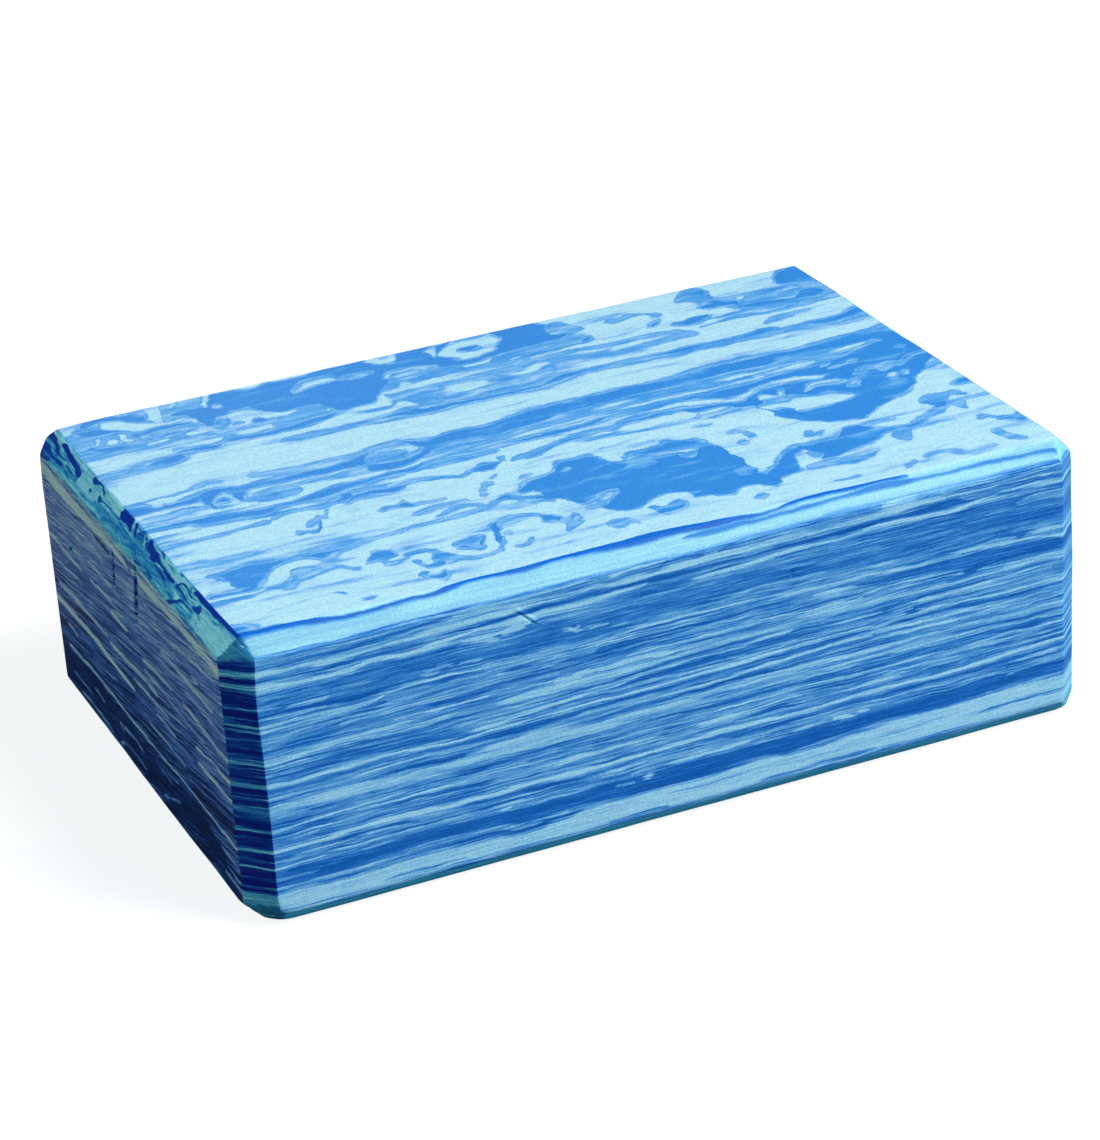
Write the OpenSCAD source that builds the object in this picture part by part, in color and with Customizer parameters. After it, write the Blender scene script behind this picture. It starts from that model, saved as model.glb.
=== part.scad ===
// Foam block: one solid of closed-cell foam, of the kind used on the floor for stretching.
// All twelve edges are cut back to flat bevels, and at each of the eight corners three bevels
// meet in mitre lines at one point.
// Units are millimetres. The origin is at the middle of the underside, with +X along the
// block's length and +Z up.

/* [Block] */
// Length, from end to end
block_length = 228.6; // [200:0.1:280]
// Width, from front to back
block_width = 152.4; // [100:0.1:190]
// Height of the block as it lies
block_height = 76.2; // [50:0.1:120]

/* [Bevels] */
// Setback of the bevels on the four long edges, which run along the length
long_edge_setback = 4.3; // [1:0.1:12]
// Setback of the bevels on the four short edges, which run along the width
short_edge_setback = 5.1; // [1:0.1:12]
// Setback of the bevels on the four upright edges
upright_edge_setback = 6.4; // [1:0.1:12]

/* [Finish] */
// Colour of the foam between its light and dark layers
foam_color = [0.33, 0.62, 0.88];

/* [Hidden] */

// A rectangle about the origin with its four corners cut off at 45 degrees. Each cut takes
// the same setback off both sides that it joins.
module bevelled_rectangle(size_x, size_y, setback) {
    half_x = size_x / 2;
    half_y = size_y / 2;
    polygon([
        [half_x - setback, half_y],
        [-half_x + setback, half_y],
        [-half_x, half_y - setback],
        [-half_x, -half_y + setback],
        [-half_x + setback, -half_y],
        [half_x - setback, -half_y],
        [half_x, -half_y + setback],
        [half_x, half_y - setback]
    ]);
}

// The block as seen from its end, drawn out along its length: this bevels the long edges.
module bar_along_length() {
    rotate([90, 0, 90])
        linear_extrude(height = block_length, center = true)
            bevelled_rectangle(block_width, block_height, long_edge_setback);
}

// The block as seen from the front, drawn out along its width: this bevels the short edges.
module bar_along_width() {
    rotate([90, 0, 0])
        linear_extrude(height = block_width, center = true)
            bevelled_rectangle(block_length, block_height, short_edge_setback);
}

// The block as seen from above, drawn out upwards: this bevels the upright edges.
module bar_upright() {
    linear_extrude(height = block_height, center = true)
        bevelled_rectangle(block_length, block_width, upright_edge_setback);
}

// What the three bars share has a bevel on every edge, and the mitres at the corners come
// out of it by themselves, also where the three setbacks differ.
module foam_block() {
    color(foam_color)
        translate([0, 0, block_height / 2])
            intersection() {
                bar_along_length();
                bar_along_width();
                bar_upright();
            }
}

foam_block();
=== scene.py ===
# %% [markdown]
# # A marbled foam block
#
# This lesson builds one block of closed-cell foam, the kind that is cut from a big bun and
# has every edge bevelled. The bun is made by pressing scraps of pale and deep blue foam
# together under heat. Each scrap is squashed flat, so the sides of the block show long thin
# streaks, and the top, which is cut almost along the layers, shows broad swirls.
#
# The block's sizes come from the CAD frame, which is loaded first and isn't changed.

# %% Load the frame
import math

import bpy
import bmesh
from mathutils import Matrix, Vector


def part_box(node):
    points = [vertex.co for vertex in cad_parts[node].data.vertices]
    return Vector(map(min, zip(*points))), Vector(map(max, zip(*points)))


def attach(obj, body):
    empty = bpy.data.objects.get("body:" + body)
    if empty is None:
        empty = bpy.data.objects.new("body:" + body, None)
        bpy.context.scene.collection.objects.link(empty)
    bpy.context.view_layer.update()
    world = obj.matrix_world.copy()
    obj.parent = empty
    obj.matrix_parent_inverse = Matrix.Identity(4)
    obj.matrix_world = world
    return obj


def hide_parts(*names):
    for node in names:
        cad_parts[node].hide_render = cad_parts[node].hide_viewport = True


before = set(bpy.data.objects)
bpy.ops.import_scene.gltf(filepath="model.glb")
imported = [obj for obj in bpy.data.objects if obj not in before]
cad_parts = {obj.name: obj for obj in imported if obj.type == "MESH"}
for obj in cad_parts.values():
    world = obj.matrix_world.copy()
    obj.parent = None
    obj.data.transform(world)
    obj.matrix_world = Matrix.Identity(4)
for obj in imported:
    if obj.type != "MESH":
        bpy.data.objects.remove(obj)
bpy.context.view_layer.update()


low_corner, high_corner = (Vector(corner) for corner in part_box("foam_block"))
block_size = high_corner - low_corner
MM = 0.001
print("block in mm:", [round(v / MM, 2) for v in block_size])

# %% [markdown]
# ## The camera
#
# A camera can be aimed with a constraint, or its matrix can be written out. Writing the
# matrix keeps every number in view: the direction it looks from, how far away it is, and a
# roll of a few degrees, because the block stands slightly askew in the frame.

# %% Camera
camera_azimuth = math.radians(22.338)
camera_elevation = math.radians(25.193)
camera_roll = math.radians(-3.859)
camera_distance = 1.0699
aim_point = Vector((0.02917, 0.07341, 0.0))
sensor_size = 36.0
# The focal length and the frame's height are both in pixels of the finished picture.
focal_length, frame_height = 3774.6, 1140.0


def aimed_matrix(azimuth, elevation, roll, distance, target):
    towards_camera = Vector((
        -math.sin(azimuth) * math.cos(elevation),
        -math.cos(azimuth) * math.cos(elevation),
        math.sin(elevation),
    ))
    level_right = (-towards_camera).cross(Vector((0, 0, 1))).normalized()
    level_up = level_right.cross(-towards_camera)
    right = level_right * math.cos(roll) + level_up * math.sin(roll)
    up = level_up * math.cos(roll) - level_right * math.sin(roll)
    turn = Matrix((right, up, towards_camera)).transposed().to_4x4()
    return Matrix.Translation(target + towards_camera * distance) @ turn


camera_data = bpy.data.cameras.new("studio camera")
camera_data.sensor_width = sensor_size
camera_data.lens = sensor_size * focal_length / frame_height
camera_data.clip_start = 0.05
camera_data.clip_end = 50.0
camera = bpy.data.objects.new("studio camera", camera_data)
camera.matrix_world = aimed_matrix(
    camera_azimuth, camera_elevation, camera_roll, camera_distance, aim_point)
bpy.context.scene.collection.objects.link(camera)
bpy.context.scene.camera = camera
bpy.context.scene.view_settings.view_transform = "Standard"
print("camera at", [round(v, 3) for v in camera.matrix_world.translation],
      "lens", round(camera_data.lens, 1))

# %% [markdown]
# ## Helpers for node trees
#
# Shader trees and geometry trees are built the same way: make a node, set its values, and
# join sockets. These few lines keep the later cells short. A value may be a plain number or
# another node's output, and the helper tells them apart.

# %% Helpers for node trees


class Bench:
    """Puts nodes into one tree and joins them."""

    def __init__(self, tree):
        self.tree = tree

    def feed(self, socket, value):
        if isinstance(value, bpy.types.NodeSocket):
            self.tree.links.new(value, socket)
        elif value is not None:
            socket.default_value = value

    def node(self, kind, inputs=None, **settings):
        made = self.tree.nodes.new(kind)
        for name, value in settings.items():
            setattr(made, name, value)
        for key, value in (inputs or {}).items():
            self.feed(made.inputs[key], value)
        return made

    def sum(self, operation, a, b=None, c=None):
        """One Math node. The five that follow are the commonest ones."""
        return self.node("ShaderNodeMath", {0: a, 1: b, 2: c}, operation=operation).outputs[0]

    def plus(self, a, b):
        return self.sum("ADD", a, b)

    def minus(self, a, b):
        return self.sum("SUBTRACT", a, b)

    def times(self, a, b):
        return self.sum("MULTIPLY", a, b)

    def times_plus(self, a, b, c):
        return self.sum("MULTIPLY_ADD", a, b, c)

    def absolute(self, a):
        return self.sum("ABSOLUTE", a)

    def vec(self, operation, a, b=None, c=None):
        made = self.node("ShaderNodeVectorMath", operation=operation)
        self.feed(made.inputs[0], a)
        self.feed(made.inputs[1], b)
        if operation == "SCALE":
            self.feed(made.inputs["Scale"], c)
        elif c is not None:
            self.feed(made.inputs[2], c)
        name = "Value" if operation in {"LENGTH", "DOT_PRODUCT", "DISTANCE"} else "Vector"
        return made.outputs[name]

    def join(self, x, y, z):
        return self.node("ShaderNodeCombineXYZ", {0: x, 1: y, 2: z}).outputs[0]

    def split(self, vector):
        return self.node("ShaderNodeSeparateXYZ", {0: vector}).outputs

    def ease(self, value, start, end, low=0.0, high=1.0):
        """A smooth step from low to high as value goes from start to end.

        A smooth step never leaves its range, so the extra clamp is turned off. Each clamp
        would cost one more node, which long chains can't spare.
        """
        made = self.node(
            "ShaderNodeMapRange",
            {"Value": value, "From Min": start, "From Max": end, "To Min": low, "To Max": high},
            interpolation_type="SMOOTHSTEP")
        made.clamp = False
        return made.outputs["Result"]

    def blend(self, factor, a, b):
        made = self.node("ShaderNodeMix", data_type="FLOAT")
        self.feed(made.inputs[0], factor)
        self.feed(made.inputs[2], a)
        self.feed(made.inputs[3], b)
        return made.outputs[0]

    def tint(self, factor, a, b, mode="MIX"):
        made = self.node("ShaderNodeMix", data_type="RGBA", blend_type=mode)
        self.feed(made.inputs[0], factor)
        self.feed(made.inputs[6], a)
        self.feed(made.inputs[7], b)
        return made.outputs[2]


def paint_color(red, green, blue, alpha=1.0):
    """An sRGB colour, 0 to 255, as the linear numbers that a socket takes."""
    def line(v):
        v = v / 255.0
        return v / 12.92 if v <= 0.04045 else ((v + 0.055) / 1.055) ** 2.4
    return (line(red), line(green), line(blue), alpha)


# %% [markdown]
# ## The studio
#
# A product shot of foam is made on a white sweep with one big soft lamp. The floor here is a
# plain disc. It looks white to the camera, apart from the block's shadow, and grey in
# reflections. The light that it gives back to the block is that of a dark blue table, so that
# the shaded end of the block stays deep. Light Path tells the rays apart. One big lamp lights
# the top and the front, and three weaker ones fill the sides.

# %% Floor
bpy.ops.mesh.primitive_circle_add(vertices=96, radius=2.2, fill_type="NGON")
floor = bpy.context.object
floor.name = "floor"
floor_paint = bpy.data.materials.new("white sweep")
floor_paint.use_nodes = True
floor_paint.node_tree.nodes.clear()
bench = Bench(floor_paint.node_tree)
ray = bench.node("ShaderNodeLightPath").outputs
table_color = bench.tint(ray["Is Glossy Ray"], (0.04, 0.09, 0.13, 1), (0.40, 0.40, 0.40, 1))
table_color = bench.tint(ray["Is Camera Ray"], table_color, (0.24, 0.24, 0.24, 1))
cloth = bench.node("ShaderNodeBsdfDiffuse", {"Color": table_color})
# Where no lamp reaches the sweep, the camera still sees this share of white.
shadow_level = 0.87
lift = bench.node("ShaderNodeEmission", {"Color": (1, 1, 1, 1)})
bench.feed(lift.inputs["Strength"], bench.times(ray["Is Camera Ray"], shadow_level))
both = bench.node("ShaderNodeAddShader", {0: cloth.outputs[0], 1: lift.outputs[0]})
bench.node("ShaderNodeOutputMaterial", {"Surface": both.outputs[0]})
floor.data.materials.append(floor_paint)
print("floor", round(floor.dimensions.x, 2), "m across")

# %% World and lamps
world = bpy.data.worlds.new("studio air")
bpy.context.scene.world = world
world.use_nodes = True
world.node_tree.nodes.clear()
bench = Bench(world.node_tree)
ray = bench.node("ShaderNodeLightPath").outputs
seen = bench.sum("MAXIMUM", ray["Is Camera Ray"], ray["Is Transmission Ray"])
air_color = bench.tint(seen, (0.03, 0.06, 0.08, 1), (1, 1, 1, 1))
gloss_color = bench.tint(ray["Is Glossy Ray"], air_color, (0.16, 0.18, 0.22, 1))
air = bench.node("ShaderNodeBackground", {"Color": gloss_color, "Strength": 1.0})
bench.node("ShaderNodeOutputWorld", {"Surface": air.outputs[0]})


def soft_lamp(name, direction, distance, side, power, color):
    data = bpy.data.lights.new(name, "AREA")
    data.shape = "DISK"
    data.size = side
    data.energy = power
    data.color = color
    lamp = bpy.data.objects.new(name, data)
    way = Vector(direction).normalized()
    lamp.location = way * distance
    lamp.rotation_euler = way.to_track_quat("Z", "Y").to_euler()
    bpy.context.scene.collection.objects.link(lamp)
    print(name, "at", [round(v, 2) for v in lamp.location], power, "W")
    return lamp


soft_lamp("big soft lamp", (0.43, -0.44, 0.79), 2.6, 1.2, 71.0, (1.0, 0.93, 0.93))
soft_lamp("blue fill", (0.42, -0.87, 0.25), 2.6, 1.2, 19.6, (0.18, 0.67, 1.0))
soft_lamp("pale fill", (-0.90, -0.15, 0.40), 2.6, 1.2, 18.0, (0.58, 1.0, 0.88))
soft_lamp("back fill", (0.25, 0.97, 0.07), 2.6, 0.4, 8.0, (0.62, 0.86, 1.0))

# %% [markdown]
# ## The block's shape
#
# A bevelled block follows a rule, so a Geometry Nodes tree makes it, with named inputs for
# its sizes. It could also be a cube with a Bevel modifier, but a cube has no points in its
# faces to carry dents, and the foam's three kinds of edge have three bevel widths.
#
# The rule works on how far a point lies in from each of the three nearest faces. On a
# bevelled edge two of those distances must add up to at least the bevel's setback. Where
# they fall short, both are pushed in by half of what is missing. A smooth maximum in place
# of a hard one rounds the two corners of each bevel, as foam does by itself.

# %% The bevel rule as a node tree
MAKER_SIZES = {
    "Length": block_size.x, "Width": block_size.y, "Height": block_size.z,
    "Long Edge Setback": 4.3 * MM, "Short Edge Setback": 5.1 * MM,
    "Upright Edge Setback": 6.4 * MM, "Back Left Share": 0.78, "Edge Softness": 0.7 * MM,
    "Front Corner Setback": 9.5 * MM, "Back Corner Setback": 7.2 * MM,
    "Near Foot Corner Setback": 11.4 * MM, "Foot Corner Setback": 7.5 * MM,
    "Back Left Corner Change": -2.2 * MM, "Corner Softness": 5.4 * MM, "Corner Lean": 0.67,
    "Corner Melt": 2.1 * MM, "Long Foot Share": 0.77, "Left Foot Share": 0.90,
    "Right Foot Share": 0.45, "Crown": 0.08 * MM, "Unevenness": 0.12 * MM,
}
MAKER_COUNTS = {"Points Along Length": 171, "Points Along Width": 121, "Points Up": 65}
WANDER_LENGTH, WANDER_SHARE = 26 * MM, 0.20
DIMPLE_LENGTH = 9 * MM
MELT_STARTS, MELT_IS_FULL = 24 * MM, 6 * MM


def block_tree():
    tree = bpy.data.node_groups.new("foam block", "GeometryNodeTree")
    ports = tree.interface
    ports.new_socket("Geometry", in_out="INPUT", socket_type="NodeSocketGeometry")
    for name in MAKER_SIZES:
        ports.new_socket(name, in_out="INPUT", socket_type="NodeSocketFloat")
    for name in MAKER_COUNTS:
        ports.new_socket(name, in_out="INPUT", socket_type="NodeSocketInt")
    ports.new_socket("Foam", in_out="INPUT", socket_type="NodeSocketMaterial")
    ports.new_socket("Geometry", in_out="OUTPUT", socket_type="NodeSocketGeometry")
    return tree


tree = block_tree()
bench = Bench(tree)
given = bench.node("NodeGroupInput").outputs
cube = bench.node("GeometryNodeMeshCube",
                  {"Size": (2, 2, 2), "Vertices X": given["Points Along Length"],
                   "Vertices Y": given["Points Along Width"], "Vertices Z": given["Points Up"]})
place = bench.node("GeometryNodeInputPosition").outputs[0]

# Crowd the points towards the edges, where the shape changes fastest.
crowding = 0.72
bent = bench.vec("SINE", bench.vec("SCALE", place, None, math.pi / 2))
crowded = bench.vec(
    "ADD", bench.vec("SCALE", place, None, 1 - crowding), bench.vec("SCALE", bent, None, crowding))
half_sizes = bench.vec(
    "SCALE", bench.join(given["Length"], given["Width"], given["Height"]), None, 0.5)
spot = bench.vec("MULTIPLY", crowded, half_sizes)
side = bench.vec("SIGN", place)
inset = bench.split(bench.vec("SUBTRACT", half_sizes, bench.vec("ABSOLUTE", spot)))
from_end, from_long_side, from_face = inset[0], inset[1], inset[2]
print("bevel rule starts with", len(tree.nodes), "nodes")

# %% [markdown]
# A block that is cut by hand has bevels that aren't all alike. The edges round the foot are
# cut less than those round the top, one upright edge is slimmer, and each corner has a small
# facet of its own size. Each of these is a named input, so one can change without the rest.

# %% Bevels and corners
# Slow noise along each edge makes a setback wander a little, like a hand-fed cutter.
edge_place = bench.vec("SCALE", spot, None, 1 / WANDER_LENGTH)
edge_noise = bench.node(
    "ShaderNodeTexNoise", {"Vector": edge_place, "Scale": 1.0, "Detail": 1.0},
    noise_dimensions="3D")
wander = bench.times_plus(edge_noise.outputs[0], WANDER_SHARE, 1 - WANDER_SHARE / 2)
below = bench.sum("LESS_THAN", bench.split(place)[2], 0.0)
to_right = bench.sum("GREATER_THAN", bench.split(place)[0], 0.0)
to_back = bench.sum("GREATER_THAN", bench.split(place)[1], 0.0)
long_setback = bench.times(
    given["Long Edge Setback"], bench.blend(below, 1.0, given["Long Foot Share"]))
foot_share = bench.blend(to_right, given["Left Foot Share"], given["Right Foot Share"])
short_setback = bench.times(given["Short Edge Setback"], bench.blend(below, 1.0, foot_share))
# The top corners are cut steeper than the foot ones.
front_left = bench.times(bench.minus(1.0, to_back), bench.minus(1.0, to_right))
back_left = bench.times(to_back, bench.minus(1.0, to_right))
back_corner = bench.times_plus(
    back_left, given["Back Left Corner Change"], given["Back Corner Setback"])
top_corner = bench.blend(to_back, given["Front Corner Setback"], back_corner)
foot_corner = bench.blend(
    front_left, given["Foot Corner Setback"], given["Near Foot Corner Setback"])
corner_setback = bench.blend(below, top_corner, foot_corner)
lean = bench.blend(below, given["Corner Lean"], 1.0)
upright_setback = bench.times(
    given["Upright Edge Setback"], bench.blend(back_left, 1.0, given["Back Left Share"]))

# At the back left corner of the top the edges melt into one another.
room = bench.plus(from_face, bench.plus(from_end, from_long_side))
melt = bench.times(
    bench.ease(room, MELT_STARTS, MELT_IS_FULL), bench.times(back_left, bench.minus(1.0, below)))
softness = bench.times_plus(melt, given["Corner Melt"], given["Edge Softness"])


def cut_edge(a, b, setback):
    """Pushes both distances in until they add up to the setback, with a soft corner."""
    short_by = bench.minus(bench.times(setback, wander), bench.plus(a, b))
    push = bench.times(0.5, bench.sum("SMOOTH_MAX", short_by, 0.0, softness))
    return bench.plus(a, push), bench.plus(b, push)


# One edge's cut moves the others a little, so the three are cut in turn, three times.
for _ in range(3):
    from_end, from_long_side = cut_edge(from_end, from_long_side, upright_setback)
    from_long_side, from_face = cut_edge(from_long_side, from_face, long_setback)
    from_end, from_face = cut_edge(from_end, from_face, short_setback)

corner_sum = bench.times_plus(from_face, lean, bench.plus(from_end, from_long_side))
corner_gap = bench.sum(
    "SMOOTH_MAX", bench.minus(corner_setback, corner_sum), 0.0, given["Corner Softness"])
corner_push = bench.sum("DIVIDE", corner_gap, bench.plus(lean, 2.0))
from_end = bench.plus(from_end, corner_push)
from_long_side = bench.plus(from_long_side, corner_push)
from_face = bench.plus(from_face, corner_push)
print("with bevels", len(tree.nodes), "nodes")

# %% [markdown]
# Foam is never dead flat. Each side stands a tenth of a millimetre proud in its middle, and
# a slow noise dimples it. The underside is left flat, because it carries the block's weight.

# %% Crown and dimples
along = bench.split(bench.vec("MULTIPLY", crowded, crowded))
resting = bench.sum("LESS_THAN", bench.split(place)[2], -0.999)
free = bench.minus(1.0, resting)


def crown(distance, one, other):
    rise = bench.times(bench.plus(one, other), 0.5)
    return bench.times_plus(rise, given["Crown"], distance)


from_end = crown(from_end, along[1], along[2])
from_long_side = crown(from_long_side, along[0], along[2])
top_crown = bench.times(free, bench.times(0.25, bench.times(
    bench.plus(along[0], along[1]), given["Crown"])))
from_face = bench.plus(from_face, top_crown)

dimple_place = bench.vec("SCALE", spot, None, 1 / DIMPLE_LENGTH)
dimple_noise = bench.node(
    "ShaderNodeTexNoise", {"Vector": dimple_place, "Scale": 1.0, "Detail": 2.0},
    noise_dimensions="3D")
dimple = bench.times(bench.times(dimple_noise.outputs[0], free), given["Unevenness"])
from_all = [bench.plus(d, dimple) for d in (from_end, from_long_side, from_face)]
shaped = bench.vec("MULTIPLY", side, bench.vec("SUBTRACT", half_sizes, bench.join(*from_all)))
lifted = bench.vec("ADD", shaped, bench.join(0.0, 0.0, bench.split(half_sizes)[2]))
moved = bench.node(
    "GeometryNodeSetPosition", {"Geometry": cube.outputs["Mesh"], "Position": lifted})
real = bench.node("GeometryNodeRealizeInstances", {0: moved.outputs[0]})
coated = bench.node(
    "GeometryNodeSetMaterial", {"Geometry": real.outputs[0], "Material": given["Foam"]})
bench.node("NodeGroupOutput", {0: coated.outputs[0]})
print("whole tree", len(tree.nodes), "nodes")

# %% [markdown]
# A tree's result lives only in its modifier, and the finished piece has to be a plain mesh.
# So the tree is run once on an empty mesh, its result is copied, and the modifier goes.

# %% Bake the block to a plain mesh
foam = bpy.data.materials.new("marbled foam")
foam.use_nodes = True


def baked(name, tree, values, material):
    """Runs a tree on an empty mesh and keeps the result as a plain mesh object."""
    carrier = bpy.data.objects.new("carrier", bpy.data.meshes.new("carrier"))
    bpy.context.scene.collection.objects.link(carrier)
    made = carrier.modifiers.new("rule", "NODES")
    made.node_group = tree
    keys = {port.name: port.identifier for port in tree.interface.items_tree
            if port.in_out == "INPUT"}
    for label, value in values.items():
        made[keys[label]] = value
    made[keys["Foam"]] = material
    ready = carrier.evaluated_get(bpy.context.evaluated_depsgraph_get())
    mesh = bpy.data.meshes.new_from_object(ready)
    carrier.modifiers.remove(made)
    bpy.data.objects.remove(carrier)
    mesh.name = name
    result = bpy.data.objects.new(name, mesh)
    bpy.context.scene.collection.objects.link(result)
    return result


block = baked("foam_block_marbled", tree, {**MAKER_SIZES, **MAKER_COUNTS}, foam)
print(block.name, len(block.data.vertices), "points", len(block.data.polygons), "faces")

# %% [markdown]
# ## Wear marks
#
# Foam gets nicked. A mark that is a millimetre wide needs points a quarter of a millimetre
# apart, and giving the whole block that many would make it far too heavy. So the mesh is
# refined only in a small patch round each mark, and the points there are pressed in or
# pulled out. A bump texture could fake the same, but a real dent catches real shadow. How
# deep each point lies is kept in an attribute named Worn, which the material reads.

# %% Marks
# Every mark is a line from start to end on one side, in mm, pressed in by depth.
# ridge raises the foam beside the cut, on the left of the way from start to end.
FRONT, LEFT_END = "front", "left end"
MARKS = [
    dict(side=FRONT, start=(-41.2, 67.0), end=(-37.0, 63.2), width=0.30, depth=0.34, ridge=0.20),
    dict(side=FRONT, start=(31.0, 59.2), end=(31.4, 59.7), width=0.42, depth=0.55, ridge=0.0),
    dict(side=LEFT_END, start=(9.8, 66.0), end=(11.6, 56.6), width=0.85, depth=0.60, ridge=0.0),
    dict(side=LEFT_END, start=(-9.4, 69.4), end=(-5.6, 54.6), width=1.00, depth=0.80, ridge=0.12),
    dict(side=LEFT_END, start=(50.8, 50.6), end=(49.2, 51.4), width=0.60, depth=0.85, ridge=0.0),
]
# For each side: the axis along it, the one up it, and the one that points out of it.
AXES = {FRONT: (0, 2, 1), LEFT_END: (1, 2, 0)}
# How far a fine patch reaches past its mark, in mm, and the cuts made in each edge there.
PATCH_MARGIN, PATCH_CUTS = 2.6, 5
# A scratch on the end is a row of beads: this share deeper and shallower, this many radians
# to a mm.
BEAD_HEIGHT, BEAD_WAVE = 0.30, 1.9
# In mm: the width of a raised lip, and the least move that is worth making.
LIP_WIDTH, SMALLEST_MOVE = 0.45, 0.004
print(len(MARKS), "marks, the deepest", max(mark["depth"] for mark in MARKS), "mm")

# %% Tools that refine and press


def refine(mesh, side, low, high, cuts):
    """Cuts the faces inside a rectangle of one side into smaller ones."""
    a, b, out = AXES[side]
    edges = set()
    for face in mesh.faces:
        middle = face.calc_center_median() / MM
        inside = low[0] < middle[a] < high[0] and low[1] < middle[b] < high[1]
        if inside and face.normal[out] < -0.9:
            edges.update(face.edges)
    bmesh.ops.subdivide_edges(mesh, edges=list(edges), cuts=cuts, use_grid_fill=True)


def press(mesh, mark):
    """Moves the points near a mark in or out, and notes in Worn how deep each one lies."""
    a, b, out = AXES[mark["side"]]
    start, end = Vector(mark["start"]), Vector(mark["end"])
    way = end - start
    length = way.length
    way.normalize()
    left = Vector((-way.y, way.x))
    worn = mesh.verts.layers.float["Worn"]
    count = 0
    for point in mesh.verts:
        spot = Vector((point.co[a], point.co[b])) / MM - start
        if point.co[out] > 0 or spot.length > length + 4:
            continue
        t = max(0.0, min(length, spot.dot(way)))
        gap = spot - way * t
        taper = 0.55 + 0.45 * math.sin(math.pi * (0.15 + 0.7 * t / length))
        beads = 1.0 + BEAD_HEIGHT * math.sin(t * BEAD_WAVE) * (mark["side"] == LEFT_END)
        dent = mark["depth"] * taper * beads * math.exp(-(gap.length / mark["width"]) ** 2)
        beside = gap.dot(left) - 1.1 * mark["width"] - 0.25
        lip = mark["ridge"] * taper * math.exp(-(beside / LIP_WIDTH) ** 2) * math.exp(
            -max(0.0, gap.length - abs(gap.dot(left))) ** 2)
        if abs(dent) + lip > SMALLEST_MOVE:
            point.co[out] += (dent - lip) * MM
            point[worn] = max(point[worn], dent / mark["depth"])
            count += 1
    return count


# %% Press the marks in
work = bmesh.new()
work.from_mesh(block.data)
work.verts.layers.float.new("Worn")
for mark in MARKS:
    lows = [min(p) - PATCH_MARGIN for p in zip(mark["start"], mark["end"])]
    highs = [max(p) + PATCH_MARGIN for p in zip(mark["start"], mark["end"])]
    refine(work, mark["side"], lows, highs, PATCH_CUTS)
for mark in MARKS:
    print(mark["side"], mark["start"], "moved", press(work, mark), "points")
bmesh.ops.recalc_face_normals(work, faces=work.faces)
work.to_mesh(block.data)
work.free()
block.data.shade_smooth()
check = bmesh.new()
check.from_mesh(block.data)
open_edges = sum(1 for e in check.edges if len(e.link_faces) != 2)
volume = check.calc_volume()
triangles = sum(len(f.verts) - 2 for f in check.faces)
check.free()
print("open edges", open_edges, "triangles", triangles, "volume cm3", round(volume * 1e6, 1))

# %% [markdown]
# ## How the marbling is drawn
#
# The pattern is a solid one: colour depends on where a point lies in the block, so it runs
# on over the bevels by itself. One number, the tone, says how much deep pigment a point has,
# from 0 for pale to 1 for deep.
#
# Noise alone gives clouds and streaks, but not the shapes that pressing gives: long flat
# lenses with one thick part and two thin ends. A lens is easy to write down as a short list
# of stations along the block, each with its lower and upper edge in millimetres. An RGB
# Curves node turns such a list into smooth edges, because it bends three numbers at once:
# red is the lower edge, green the upper edge (with its sign turned, so that both can be
# compared in one step) and blue is the tone. Lenses that don't overlap along the block can
# share one node, which keeps the tree small.

# %% Curves that hold lenses
# In mm: the least space between two lenses of one row, how far a lens's tips reach past its
# end stations, and how far apart its two edges have crossed by there.
LENS_SPACE, TIP_REACH, TIP_CROSSED = 3.2, 1.4, 1.6


def fill_curve(curve, points, straight):
    """Writes points into one curve of a Curves node."""
    points = sorted(points)
    curve.points[0].location = points[0]
    curve.points[1].location = points[-1]
    for point in points[1:-1]:
        curve.points.new(*point)
    for point in curve.points:
        point.handle_type = "VECTOR" if straight else "AUTO_CLAMPED"


def pack_rows(lenses, longest):
    """Shares lenses out over as few rows as will hold them without an overlap."""
    rows = []
    for lens in sorted(lenses, key=lambda one: one[1][0]):
        first, last = lens[1][0], lens[-1][0]
        for row in rows:
            if first - row[-1][-1][0] > LENS_SPACE and last - row[0][1][0] < longest:
                row.append(lens)
                break
        else:
            rows.append([lens])
    return rows


def lay_row(bench, tone, row, line, across, softness, upper, grow):
    """Lays one row of lenses over the tone. upper sharpens the upper edge, not the lower.

    grow, in mm, moves both edges outwards.
    """
    low, high, shade = [], [], []
    for depth, *stations in row:
        tip = [(stations[0][0] - TIP_REACH, (stations[0][1] + stations[0][2]) / 2),
               (stations[-1][0] + TIP_REACH, (stations[-1][1] + stations[-1][2]) / 2)]
        low += [(x, a) for x, a, b in stations] + [(x, m + TIP_CROSSED) for x, m in tip]
        high += [(x, -b) for x, a, b in stations] + [(x, TIP_CROSSED - m) for x, m in tip]
        shade += [(tip[0][0], depth), (tip[1][0], depth)]
    curves = bench.node("ShaderNodeRGBCurve", {"Color": line})
    mapping = curves.mapping
    mapping.use_clip = False
    mapping.extend = "HORIZONTAL"
    first, last = min(low)[0], max(low)[0]
    fill_curve(mapping.curves[0], low, False)
    fill_curve(mapping.curves[1], high, False)
    fill_curve(mapping.curves[2], shade, True)
    fill_curve(mapping.curves[3], [(first, first), (last, last)], True)
    mapping.update()
    edges = bench.node("ShaderNodeSeparateColor", {"Color": curves.outputs[0]}).outputs
    below_it = bench.minus(edges[0], across)
    above_it = bench.times(bench.plus(edges[1], across), 2.0 if upper else 0.5)
    outside = bench.sum("MAXIMUM", below_it, above_it)
    reach = softness * (1.3 if upper else 0.65)
    cover = bench.ease(outside, grow + 0.8 * reach, grow - 1.3 * reach)
    return bench.blend(cover, tone, edges[2])


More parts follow.
